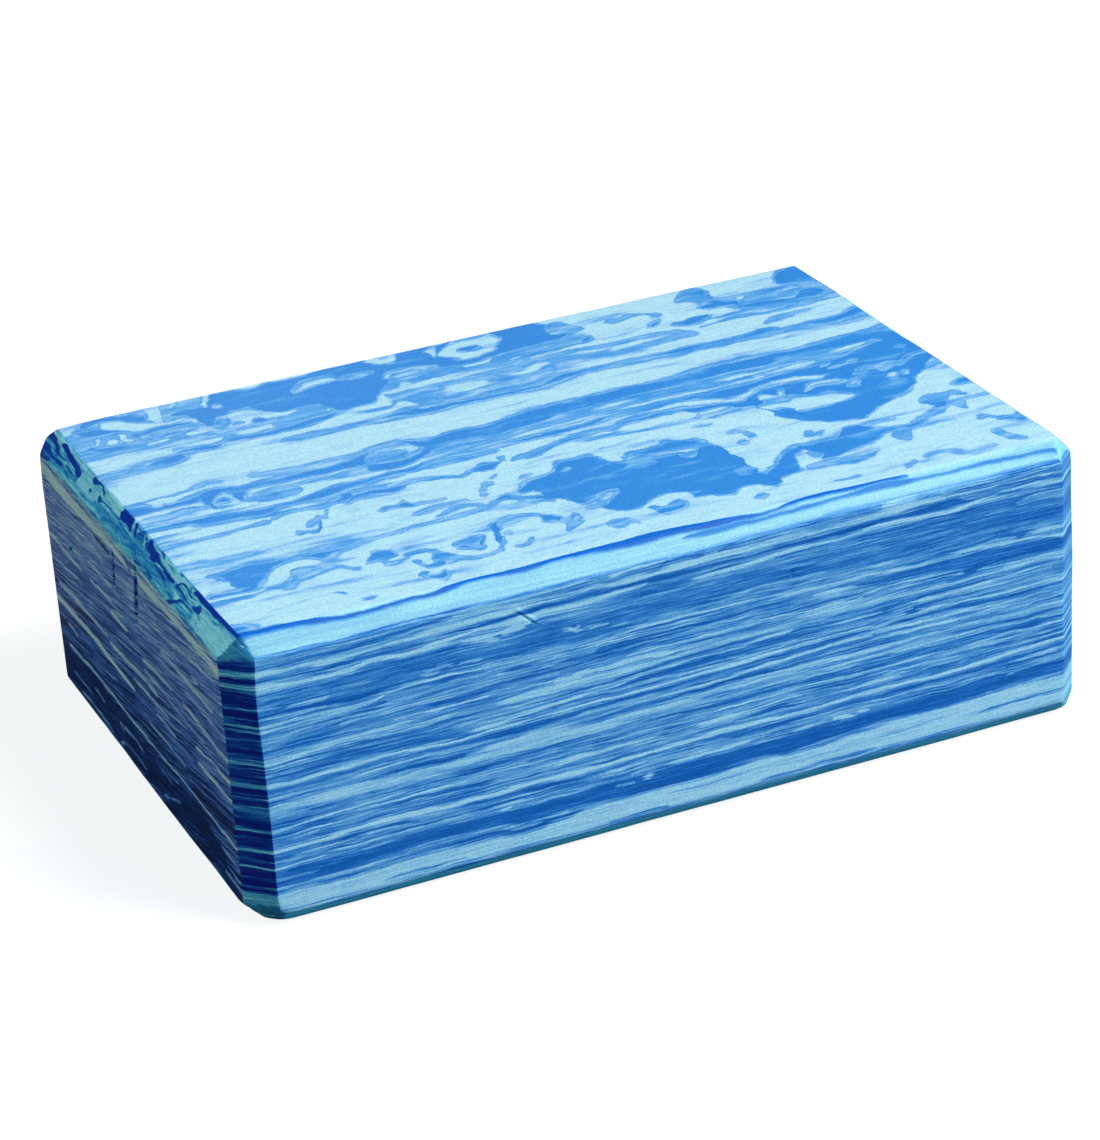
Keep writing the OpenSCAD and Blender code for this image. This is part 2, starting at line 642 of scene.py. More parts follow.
def lay_lenses(bench, tone, layers, along, across, grow=0.0):
    """Lays layers of lenses, first to last. along and across are two coordinates in mm."""
    line = bench.join(along, along, along)
    used = 0
    for softness, longest, lenses in layers:
        for row in pack_rows(lenses, longest):
            tone = lay_row(bench, tone, row, line, across, softness, used % 2 == 0, grow)
            used += 1
    return tone, used


# %% [markdown]
# ## The lenses of the top
#
# Each layer is (softness of its edges in mm, the longest row, its lenses), and each lens is
# its tone and then its stations, where a station is (x, nearest y, farthest y). Later layers
# lie on earlier ones: broad masses first, then the pale and deep shapes inside them, then
# lines.

# %% Broad masses of the top
TOP_MASSES = (3.6, 240, [
    (0.76, (-116, 50, 60), (-108, 46.6, 61), (-102, 46, 64), (-96, 46, 65), (-90, 46.5, 61),
     (-84, 47, 59), (-78, 46, 61), (-72, 47, 63), (-67, 52, 61)),
    (0.62, (-116, 48, 62), (-107, 48, 65), (-103, 48.3, 68), (-99, 46.3, 74), (-95, 44.5, 78),
     (-88, 44.8, 79), (-80, 45.5, 79), (-75, 44, 79), (-70, 56, 79), (-66, 62, 79)),
    (0.5, (-28, 47, 49), (-22, 47.6, 56), (-15, 48, 62), (-8, 48, 60), (0, 48, 56), (10, 47, 57),
     (20, 47, 58), (28, 48, 58), (33, 50, 57), (38, 51, 54)),
    (0.46, (-26, 34, 43), (-20, 29, 44), (-10, 28.5, 44.5), (0, 28.5, 45), (10, 29, 45.5),
     (18, 30, 45), (24, 33, 44), (34, 36, 44), (50, 38, 45), (62, 38.5, 43.5)),
    (0.45, (-44, -4, -1), (-33, -3.5, 3), (-25, -2, 6), (-10, -1.5, 6.5), (0, -2.5, 7.5),
     (10, -1.5, 9), (30, -1, 10.5), (50, -2, 11), (70, 0, 11), (85, 2, 10.5), (95, 4, 11),
     (104, 7, 11.5)),
    (0.3, (-116, -41, -27), (-110, -41, -27), (-104, -40, -25.5), (-99, -40, -28.5),
     (-92, -40, -28.6), (-84, -38, -31), (-76, -38, -30.5), (-70, -38, -29.5), (-62, -37, -32.5),
     (-50, -36.5, -33.6), (-38, -36, -33)),
    (0.52, (72, 53.5, 56), (76, 54, 60.5), (80, 50, 60), (84, 48, 61), (90, 47.5, 60.5),
     (97, 47, 60), (103, 46.5, 61), (109, 46.8, 63), (117, 47, 66)),
])
TOP_DEEP = (1.6, 240, [
    (0.93, (-72, 61, 63), (-69, 58.5, 67), (-66, 58, 72), (-62, 57, 70.5), (-57, 52.5, 69.5),
     (-53, 49.5, 69.8), (-49, 50, 71), (-45, 49.5, 69), (-42, 45, 69), (-38, 42.4, 70),
     (-34, 42, 71), (-30, 43.2, 73), (-26, 48.5, 77), (-22, 54, 79), (-18, 60, 79), (-13, 61, 79),
     (-8, 57, 79), (-4, 55, 79), (0, 54.6, 79), (5, 53.5, 79), (10, 54.5, 79), (15, 56, 79),
     (21, 56.3, 79), (26, 56.2, 76), (29, 57, 70.5), (32, 58.4, 66), (36, 60.5, 62)),
    (0.84, (-60, 30.4, 31.6), (-50, 30.5, 32.5), (-42, 29.8, 32), (-35, 30, 32.4), (-29, 29, 33.2),
     (-25, 28, 34.6), (-20, 27.2, 31.6), (-10, 27.9, 30.8), (0, 28, 30.3), (8, 28.6, 30.6),
     (12, 27.5, 30.2), (18, 29, 33), (25, 30, 33.6), (33, 30.4, 34), (38, 31, 33.6),
     (44, 31.2, 32.8), (50, 30, 32.6), (57, 29.2, 33), (65, 28.8, 32.2), (72, 28.2, 32.4),
     (80, 27.8, 33.4), (86, 27.8, 32), (95, 27.5, 31.2), (103, 27.3, 31.6), (108, 28.5, 34),
     (116, 31, 36)),
    (0.88, (-116, 3, 11), (-112, 4.5, 11.6), (-107, 5.6, 12.2), (-103.5, 6, 12), (-101.5, 6, 8.8),
     (-96, 5.8, 8.5), (-92, 6, 10), (-90, 0, 10.6), (-88, -0.8, 11.2), (-85, -1, 11.2),
     (-82, 0, 10.4), (-79.5, 4.5, 9.6), (-77, 6.1, 9.2), (-70, 6.3, 9.7), (-60, 5.8, 9.6),
     (-53, 5.2, 9.6), (-50, 3.2, 9.8), (-47, 1, 11.6), (-42, -0.4, 13.6), (-38, 0, 14.2),
     (-34, 1.6, 13.8), (-30, 4, 12), (-26, 5.2, 11.4), (-20, 5.8, 12.8), (-13, 5.8, 12.4),
     (-8, 5.7, 13), (-3, 6.2, 14.2), (2, 7.1, 15.2), (8, 8.3, 15.6), (15, 9.2, 15.8),
     (25, 9.6, 15.8), (35, 10, 15.4), (45, 10.2, 16), (55, 10.7, 17), (63, 10.7, 16.8),
     (70, 10.4, 15.8), (80, 10.4, 15.2), (88, 10.6, 15.5), (97, 11, 16.6), (103, 10, 17.4),
     (108, 2, 18.6), (117, -3, 21)),
    (0.9, (-116, -5.6, -2.4), (-112, -5.5, -2.5), (-104, -5.4, -2.7), (-98, -5.8, -3.1),
     (-94, -8.6, -4.1), (-88, -9.5, -5), (-82, -10.5, -5.6), (-78, -10.2, -5.9), (-74, -8.4, -6),
     (-68, -8.6, -5), (-62, -9, -3.2), (-56, -7.4, -2.7), (-50, -6.1, -2.9), (-44, -5.6, -2.9),
     (-39, -5.6, -2.8), (-33, -3.4, -1.8), (-25, -2.5, -1), (-15, -2.1, -0.7), (-8, -1.5, -0.4),
     (-2, -3.2, -1.6), (5, -2.3, -0.9), (15, -1.2, 0), (25, -0.6, 0.7), (35, -0.5, 1.1),
     (40, -1.1, 1.3), (46, -3.2, 1), (52, -4.7, 0.8), (57, -2.6, 1.2), (62, -1.1, 1.7),
     (70, -1.3, 1.7), (78, -4.6, 2), (84, -5.2, 3.4), (90, -5.2, 5.2), (96, -5.2, 7.2),
     (100, -5.4, 8.6), (106, -4.6, 10), (117, -5, 14)),
    (0.9, (-20, -31.2, -29.6), (-17, -32.2, -27), (-15.5, -37, -26.5), (-13, -41, -26.2),
     (-11, -45.2, -26), (-9, -46.2, -25), (-7.4, -45.6, -22.8), (-6, -50, -21), (-4, -53.6, -19.8),
     (-1.5, -55.4, -20.3), (2, -55.2, -20), (4, -53.5, -20.4), (5.6, -52.3, -23), (7, -51.5, -27.5),
     (8.4, -51.1, -28.5), (9.6, -51, -26), (12, -51.4, -24.2), (14, -52.4, -23.6), (16, -56, -23.9),
     (19, -57, -23.8), (21, -59, -23.6), (24, -60.2, -22.6), (26, -58.5, -23), (28.4, -57.4, -24.5),
     (31, -57.6, -26.5), (33.4, -59.2, -29.4), (34.8, -60.4, -33), (35.4, -61, -46),
     (37, -60.4, -53), (39.5, -57, -51), (42, -56.2, -48), (45, -55.8, -45.6), (47, -51.4, -44),
     (49.2, -47.4, -42.4), (51, -44.4, -41.4), (53, -52, -42.6), (55, -52.7, -43), (60, -51.6, -43),
     (63, -51.2, -41.5), (65, -50.6, -38.3), (67, -50.2, -37.9), (70, -48.7, -39.4),
     (73, -46.5, -41.7), (76, -46.1, -43.3), (80, -46.2, -44.2), (84, -45.6, -43.8),
     (88, -43.4, -41.9), (93, -41.9, -40.4)),
    (0.9, (54, -13.8, -7.6), (56.4, -24, -6.4), (58, -26.5, -5.8), (60, -29, -5.2),
     (63, -31.4, -4.6), (66, -33.2, -4.4), (70, -34.2, -4.8), (74, -34.9, -5), (76, -33.6, -5.2),
     (80, -30.6, -4.8), (84, -28.4, -4), (89, -26.8, -4), (93, -25, -4), (96, -22, -4.6),
     (98.5, -18, -5), (101, -15.2, -5), (104, -12.8, -4.4), (107, -9.7, -4), (110, -7.6, -3),
     (117, -5, -1)),
])
print("broad masses:", len(TOP_MASSES[2]) + len(TOP_DEEP[2]))

# %% Deep bands and patches of the top
TOP_BANDS = (1.7, 240, [
    (0.86, (-116, 30.6, 34), (-106, 31, 34), (-98, 31, 34.6), (-92, 31.4, 36), (-88, 32, 37.6),
     (-86, 33, 37.2), (-84.6, 33.6, 35.2)),
    (0.88, (-86, 39.2, 40.2), (-83, 38, 39.9), (-80, 36.3, 39.1), (-78, 35.9, 38.8),
     (-75, 37.1, 39.2), (-73, 38.6, 40.6), (-71, 38, 42.6), (-68, 37, 41.2), (-65, 36, 39.6),
     (-60, 35.9, 40), (-55, 36, 40.5), (-50, 36.4, 41.1), (-45, 38, 41.8), (-40, 40, 43),
     (-36, 41.4, 43.4), (-31, 42.4, 44.2)),
    (0.9, (-14.5, -12.8, -10.8), (-12, -12.6, -9.4), (-9, -13.4, -9.2), (-6, -13.2, -8.5),
     (-2.5, -10.6, -7.8), (5, -9, -6.5), (12, -7.9, -6), (15.4, -9.2, -5.8), (19, -6.6, -4.5),
     (26, -6.1, -4.2), (32, -6.2, -3.9), (36, -6, -4), (40, -9.2, -4.2), (44, -8.6, -4.8),
     (48, -10.6, -6.8), (52, -13.6, -8.8), (56, -13.6, -6.8), (60, -7.8, -5), (66, -6.6, -4.3)),
    (0.88, (-104.3, -38.4, -36.8), (-101, -41.5, -36.1), (-98.6, -48.6, -36), (-95, -48.3, -35.5),
     (-92, -46, -35.5), (-89, -41.6, -36), (-86, -39.6, -36.5), (-82, -39.3, -37.2),
     (-79, -40.6, -37.4), (-76, -43, -37.6), (-73.5, -42.2, -37.9), (-70, -40, -37.9),
     (-65, -39, -37.2), (-60, -38, -36.3), (-52, -37.4, -35.7), (-42, -37, -35.5),
     (-36, -36, -34.4), (-30, -35.4, -34), (-27, -34.8, -32.4), (-24, -33.6, -30.4),
     (-22, -36.4, -32.2), (-18, -37.8, -34.4), (-15.5, -41, -36.2)),
    (0.88, (-108, -49.6, -46.6), (-104, -49.7, -46), (-100, -50.2, -47.4), (-96, -48.9, -46.4)),
    (0.62, (-112, -54.2, -50.8), (-107, -54, -50.6), (-100, -53.4, -51.2), (-93, -52, -49.8),
     (-88.5, -53.6, -49), (-85.5, -51, -44.6), (-82, -50.6, -44), (-79, -49.8, -45.6),
     (-76, -48.9, -47), (-71.4, -52.8, -50), (-69.6, -51.6, -50.4)),
    (0.86, (-68, -50.6, -49.4), (-65.6, -51, -44.2), (-64, -54, -43.8), (-62, -54.2, -45.2),
     (-60.4, -53.6, -48), (-59, -52.4, -50.2), (-57, -50.9, -49.4), (-54, -50.9, -49.3),
     (-52.4, -59.6, -50.2), (-50.6, -59.8, -52.4), (-49, -59, -54.4), (-47.6, -59.4, -57),
     (-46, -60.3, -58.7), (-43, -61, -59.9), (-40, -60.8, -59.4), (-38, -59.4, -57.6),
     (-36.8, -57.6, -55), (-35.8, -56.6, -48), (-34.8, -54, -45.6), (-33, -46.8, -44.2),
     (-30, -44.4, -43), (-26, -45, -43.4), (-23, -46.8, -44.8), (-21.4, -51.4, -46),
     (-19.6, -52, -47.4), (-17.8, -53.8, -49.4), (-16.4, -54, -52.2), (-15, -53.2, -51),
     (-13.2, -51.2, -49.4)),
    (0.8, (-116, -71.9, -66.8), (-111, -71.9, -66.2), (-108, -71.9, -66), (-105, -72, -67.2),
     (-102, -72, -69.1), (-98, -72.1, -69.6)),
    (0.86, (67.4, 62.5, 64.4), (69, 62.4, 67), (71, 61.6, 69.4), (73.5, 60.6, 70.6), (76, 61, 71.2),
     (78, 63.6, 70), (79.4, 66, 68)),
    (0.72, (45.4, 59.6, 61), (47, 58.4, 62.4), (49.5, 59, 62), (52, 59.6, 62.8), (54.5, 60.4, 62.4),
     (57, 58, 60.5), (59.4, 57, 59.4), (60.6, 57.4, 58.4)),
    (0.9, (59.4, 49.2, 50), (61, 48, 50.8), (63, 46.6, 50.2), (66, 46.1, 51.4), (68.6, 46.6, 51.4),
     (71, 49.6, 51)),
    (0.92, (98, 60, 63), (101, 59.2, 68.6), (104, 58.6, 70.6), (108, 58.2, 73), (117, 58, 79)),
    (0.9, (81.4, 49.4, 55), (84, 47.9, 52.2), (88, 48, 52.2), (93, 47.6, 51.6), (97, 47.7, 50.2),
     (100, 47.4, 53), (103, 46.7, 53.2), (106, 49, 52.2)),
    (0.88, (71.6, 55, 56), (74, 54.6, 57.6), (77, 54.8, 59.6), (80, 54.6, 58.6),
     (83.4, 55.2, 57.2)),
    (0.88, (103, -28.2, -26.6), (106, -29.1, -25.7), (109, -29.6, -25), (116, -30, -24.6)),
    (0.72, (91.4, -34, -32), (93, -40.4, -30.8), (95, -40.2, -30.2), (97, -37, -31),
     (99, -33.6, -31.6), (101, -34.2, -30.8), (103.4, -35.6, -33.4)),
    (0.82, (97.6, -51.6, -50.4), (100.4, -52, -49), (103, -54.6, -52), (105.5, -57, -52.6),
     (107, -58.2, -53.4), (109, -55, -51.6), (115, -53.4, -50)),
])
print("bands:", len(TOP_BANDS[2]), "in", len(pack_rows(TOP_BANDS[2], TOP_BANDS[1])), "rows")

# %% Pale lenses of the top
TOP_PALE = (1.8, 150, [
    (0.1, (-99, 62, 64), (-96, 61.6, 69), (-93, 59, 67.4), (-89, 57.2, 64.2), (-85, 56.8, 61.4),
     (-81, 57, 60.2), (-78, 57.4, 61.4), (-75.4, 54.4, 60.2), (-73.8, 55.6, 59)),
    (0.08, (-108, 65.4, 66.6), (-105, 67.6, 73), (-102, 70.6, 78), (-99.4, 75, 79)),
    (0.06, (-100.2, 53, 54.4), (-98.6, 51.5, 56.1), (-97, 52.4, 55.6)),
    (0.14, (-96.4, 57.2, 58.6), (-94.8, 50.9, 58), (-93.4, 51.2, 53.6)),
    (0.16, (-103.6, 52.8, 54), (-102.4, 54, 57), (-101.4, 56.6, 59)),
    (0.12, (-91.6, 52, 54), (-90.4, 51.8, 55), (-89, 52.6, 54.4)),
    (0.1, (-93.4, 71.6, 73.2), (-91.4, 69.2, 77), (-89.6, 70, 79)),
    (0.12, (-85.6, 63, 66), (-83.4, 60.6, 76), (-81, 68, 78), (-79.8, 73, 78)),
    (0.14, (-78.4, 67, 70), (-77, 68, 75), (-75.6, 71, 75)),
    (0.1, (-70.2, 62.4, 65), (-68.6, 64, 69.6), (-67, 68, 73), (-66, 70.6, 74)),
    (0.12, (-68.6, 61, 62), (-66.8, 60.9, 63.2), (-65.2, 61.8, 63.4)),
    (0.12, (-91, 47.2, 48.4), (-88, 47, 48.8), (-85.4, 47.6, 48.6)),
    (0.18, (-90, 53.2, 54.2), (-84, 53.6, 54.8), (-78, 53.4, 54.6), (-76, 53.4, 54.2)),
    (0.16, (-79.4, 47, 50), (-76.4, 46.6, 52), (-74.6, 47, 52.6), (-72.6, 46, 50)),
    (0.1, (-62.4, 52, 55), (-60.6, 50.4, 56.6), (-58.8, 49.6, 53.4), (-57.6, 49.4, 51)),
    (0.12, (-46.2, 60, 61.4), (-44, 60.2, 63.4), (-41, 61.2, 65.4), (-37, 61.4, 65.8),
     (-33, 61.3, 65), (-31.4, 61.2, 62.8), (-30, 60.6, 63.4), (-27, 60.2, 64), (-24, 61.5, 63.5),
     (-22.2, 62, 63)),
    (0.12, (-58.6, 70.8, 76), (-55, 69.4, 78), (-51.6, 71, 78)),
    (0.1, (-48, 71, 78), (-43, 69.6, 79), (-38, 69.8, 79), (-34.6, 71.6, 79), (-32, 74, 79)),
    (0.1, (-21.6, 68.6, 72), (-19.2, 66.2, 76), (-16.5, 65.8, 78), (-14.4, 68, 77),
     (-13.2, 70, 75)),
    (0.05, (-3, 62.2, 64.4), (-1, 60, 67), (2, 57.6, 69.6), (5, 56.9, 71.6), (9, 58, 72.2),
     (12, 60, 71.6), (14.4, 62.8, 69.2), (15.5, 64.2, 67)),
    (0.2, (-21.6, 55, 57.6), (-19, 53.8, 60.2), (-15, 53.4, 60.6), (-11, 53.8, 59.6),
     (-8, 55.8, 58.6), (-6.2, 56.8, 57.8)),
    (0.06, (-29.4, 42.6, 44.2), (-27, 44.8, 46.8), (-24, 46, 47.8), (-19, 46.2, 48),
     (-15, 46.3, 48.4), (-10, 46.6, 48.4), (-6, 46.6, 49.6), (-2, 46.8, 48.7), (3, 47, 48.4),
     (6.4, 47.7, 48.2)),
    (0.1, (18, 47.4, 48.4), (23, 48, 49.4), (30, 48.2, 49.2), (40, 48, 50.4), (48, 47.4, 53),
     (54, 47.2, 53.6), (58, 47.4, 53.4), (60.4, 51.6, 54)),
    (0.08, (-41, 37.8, 39.2), (-37, 38.3, 40.8), (-31, 38.8, 41.4), (-26, 40.2, 42.4)),
    (0.07, (-62, 34, 35), (-54, 33.6, 35.6), (-46, 33.4, 35.4), (-38, 33.8, 36), (-31, 34.4, 36),
     (-27, 35, 37.4), (-24.4, 35.4, 39.4), (-22.6, 34.6, 38), (-21, 34.4, 35.8)),
    (0.12, (-11, 41, 42.6), (-8, 38.4, 43.6), (-4, 37.4, 43.8), (-1, 38, 43), (0.6, 39.4, 41)),
    (0.1, (4.6, 41, 43.6), (9, 39.4, 43), (12, 38.7, 42), (15, 38.9, 43.2), (17.6, 40, 44),
     (19.6, 41.6, 43.8)),
    (0.16, (20, 34.4, 37), (22, 34.6, 40.6), (28, 34.4, 41), (34, 34.1, 39.4), (39, 34.3, 37)),
    (0.12, (38, 41.4, 42.6), (44, 41, 44), (52, 41.6, 43.8), (58, 42, 43.4)),
    (0.07, (64, 40.4, 41), (68, 37.4, 41.8), (72, 34.4, 42.8), (75, 33.6, 43), (79, 34.6, 42.6),
     (82, 37.4, 41.6), (83.6, 39, 40.4)),
    (0.07, (84, 31.4, 32.4), (90, 32, 35.6), (97, 32.4, 39), (103, 33.8, 41), (109, 36, 42),
     (116, 37.6, 43)),
    (0.14, (-88.4, 1.4, 4), (-87, -0.6, 6.6), (-85, -1.6, 7.1), (-83.4, -1.7, 6), (-82, -1.2, 2)),
    (0.12, (-92.4, 4, 6), (-91.4, 2, 6.8), (-90.6, 1.6, 4)),
    (0.12, (-102.8, 8.6, 10), (-101.4, 8, 10.6), (-99.8, 8.2, 9.6)),
    (0.14, (-98.6, 8.2, 9.8), (-97, 8.4, 10.6), (-95.4, 9, 10.2)),
    (0.14, (-89, 11.6, 13), (-85, 12, 14), (-82, 10.6, 13.6), (-79, 9.2, 13.6), (-76.4, 10.4, 14),
     (-74.2, 12.4, 14.2)),
    (0.26, (-45.6, 6, 10), (-43, 3.8, 12.6), (-40, 3.3, 13.4), (-36, 3.8, 13.2), (-33, 5.6, 12),
     (-31.4, 7.6, 10)),
    (0.12, (9.4, -28.6, -27.2), (12, -28.6, -25.8), (15, -28.4, -26), (19, -29.4, -27),
     (23, -30.6, -28.4), (26.4, -31.8, -29.2), (28.6, -31.4, -29.8)),
    (0.2, (-9.6, -49.4, -46.8), (-6.6, -50, -45.6), (-3.4, -48, -43.4), (-1.2, -45.2, -42.4),
     (0.6, -43.2, -42.4)),
    (0.08, (56.8, -13.4, -8), (58.4, -13.6, -7.4), (60, -13.6, -9.8), (61.4, -13.2, -10.4),
     (63, -12.2, -8.4), (64.2, -9.6, -7.2)),
    (0.1, (55.4, -17.4, -14), (60, -21.6, -14.6), (62.4, -23, -14.6), (64.4, -23, -12.6),
     (67, -22.8, -13.2), (70, -22.8, -15), (73.6, -22.6, -14.6), (76, -21.6, -16.4),
     (78.4, -20.8, -19.2)),
    (0.07, (69.4, -12.6, -10), (71.4, -11, -7.6), (75, -10.4, -6.8), (78, -10.8, -7.4),
     (80.8, -10.6, -9)),
    (0.22, (80.4, -15.2, -13.6), (82.4, -15.6, -12), (84.2, -14.2, -12.6)),
    (0.2, (85.6, -9, -8), (88, -8.4, -5.6), (90.4, -7, -4.8), (93, -9.2, -5.8), (97, -8.2, -5.6),
     (99.4, -9, -6.2), (102, -6.6, -4.2), (105, -5, -3.2), (109, -4, -2.6)),
    (0.1, (45.4, -56, -53), (46.6, -55, -49), (48.2, -53, -46.2), (49.8, -51.6, -46),
     (51.2, -51.4, -46.6)),
    (0.08, (103.6, -33.8, -31.2), (106, -35.6, -30.6), (109, -34.4, -31)),
])
print("pale lenses:", len(TOP_PALE[2]), "in", len(pack_rows(TOP_PALE[2], TOP_PALE[1])), "rows")

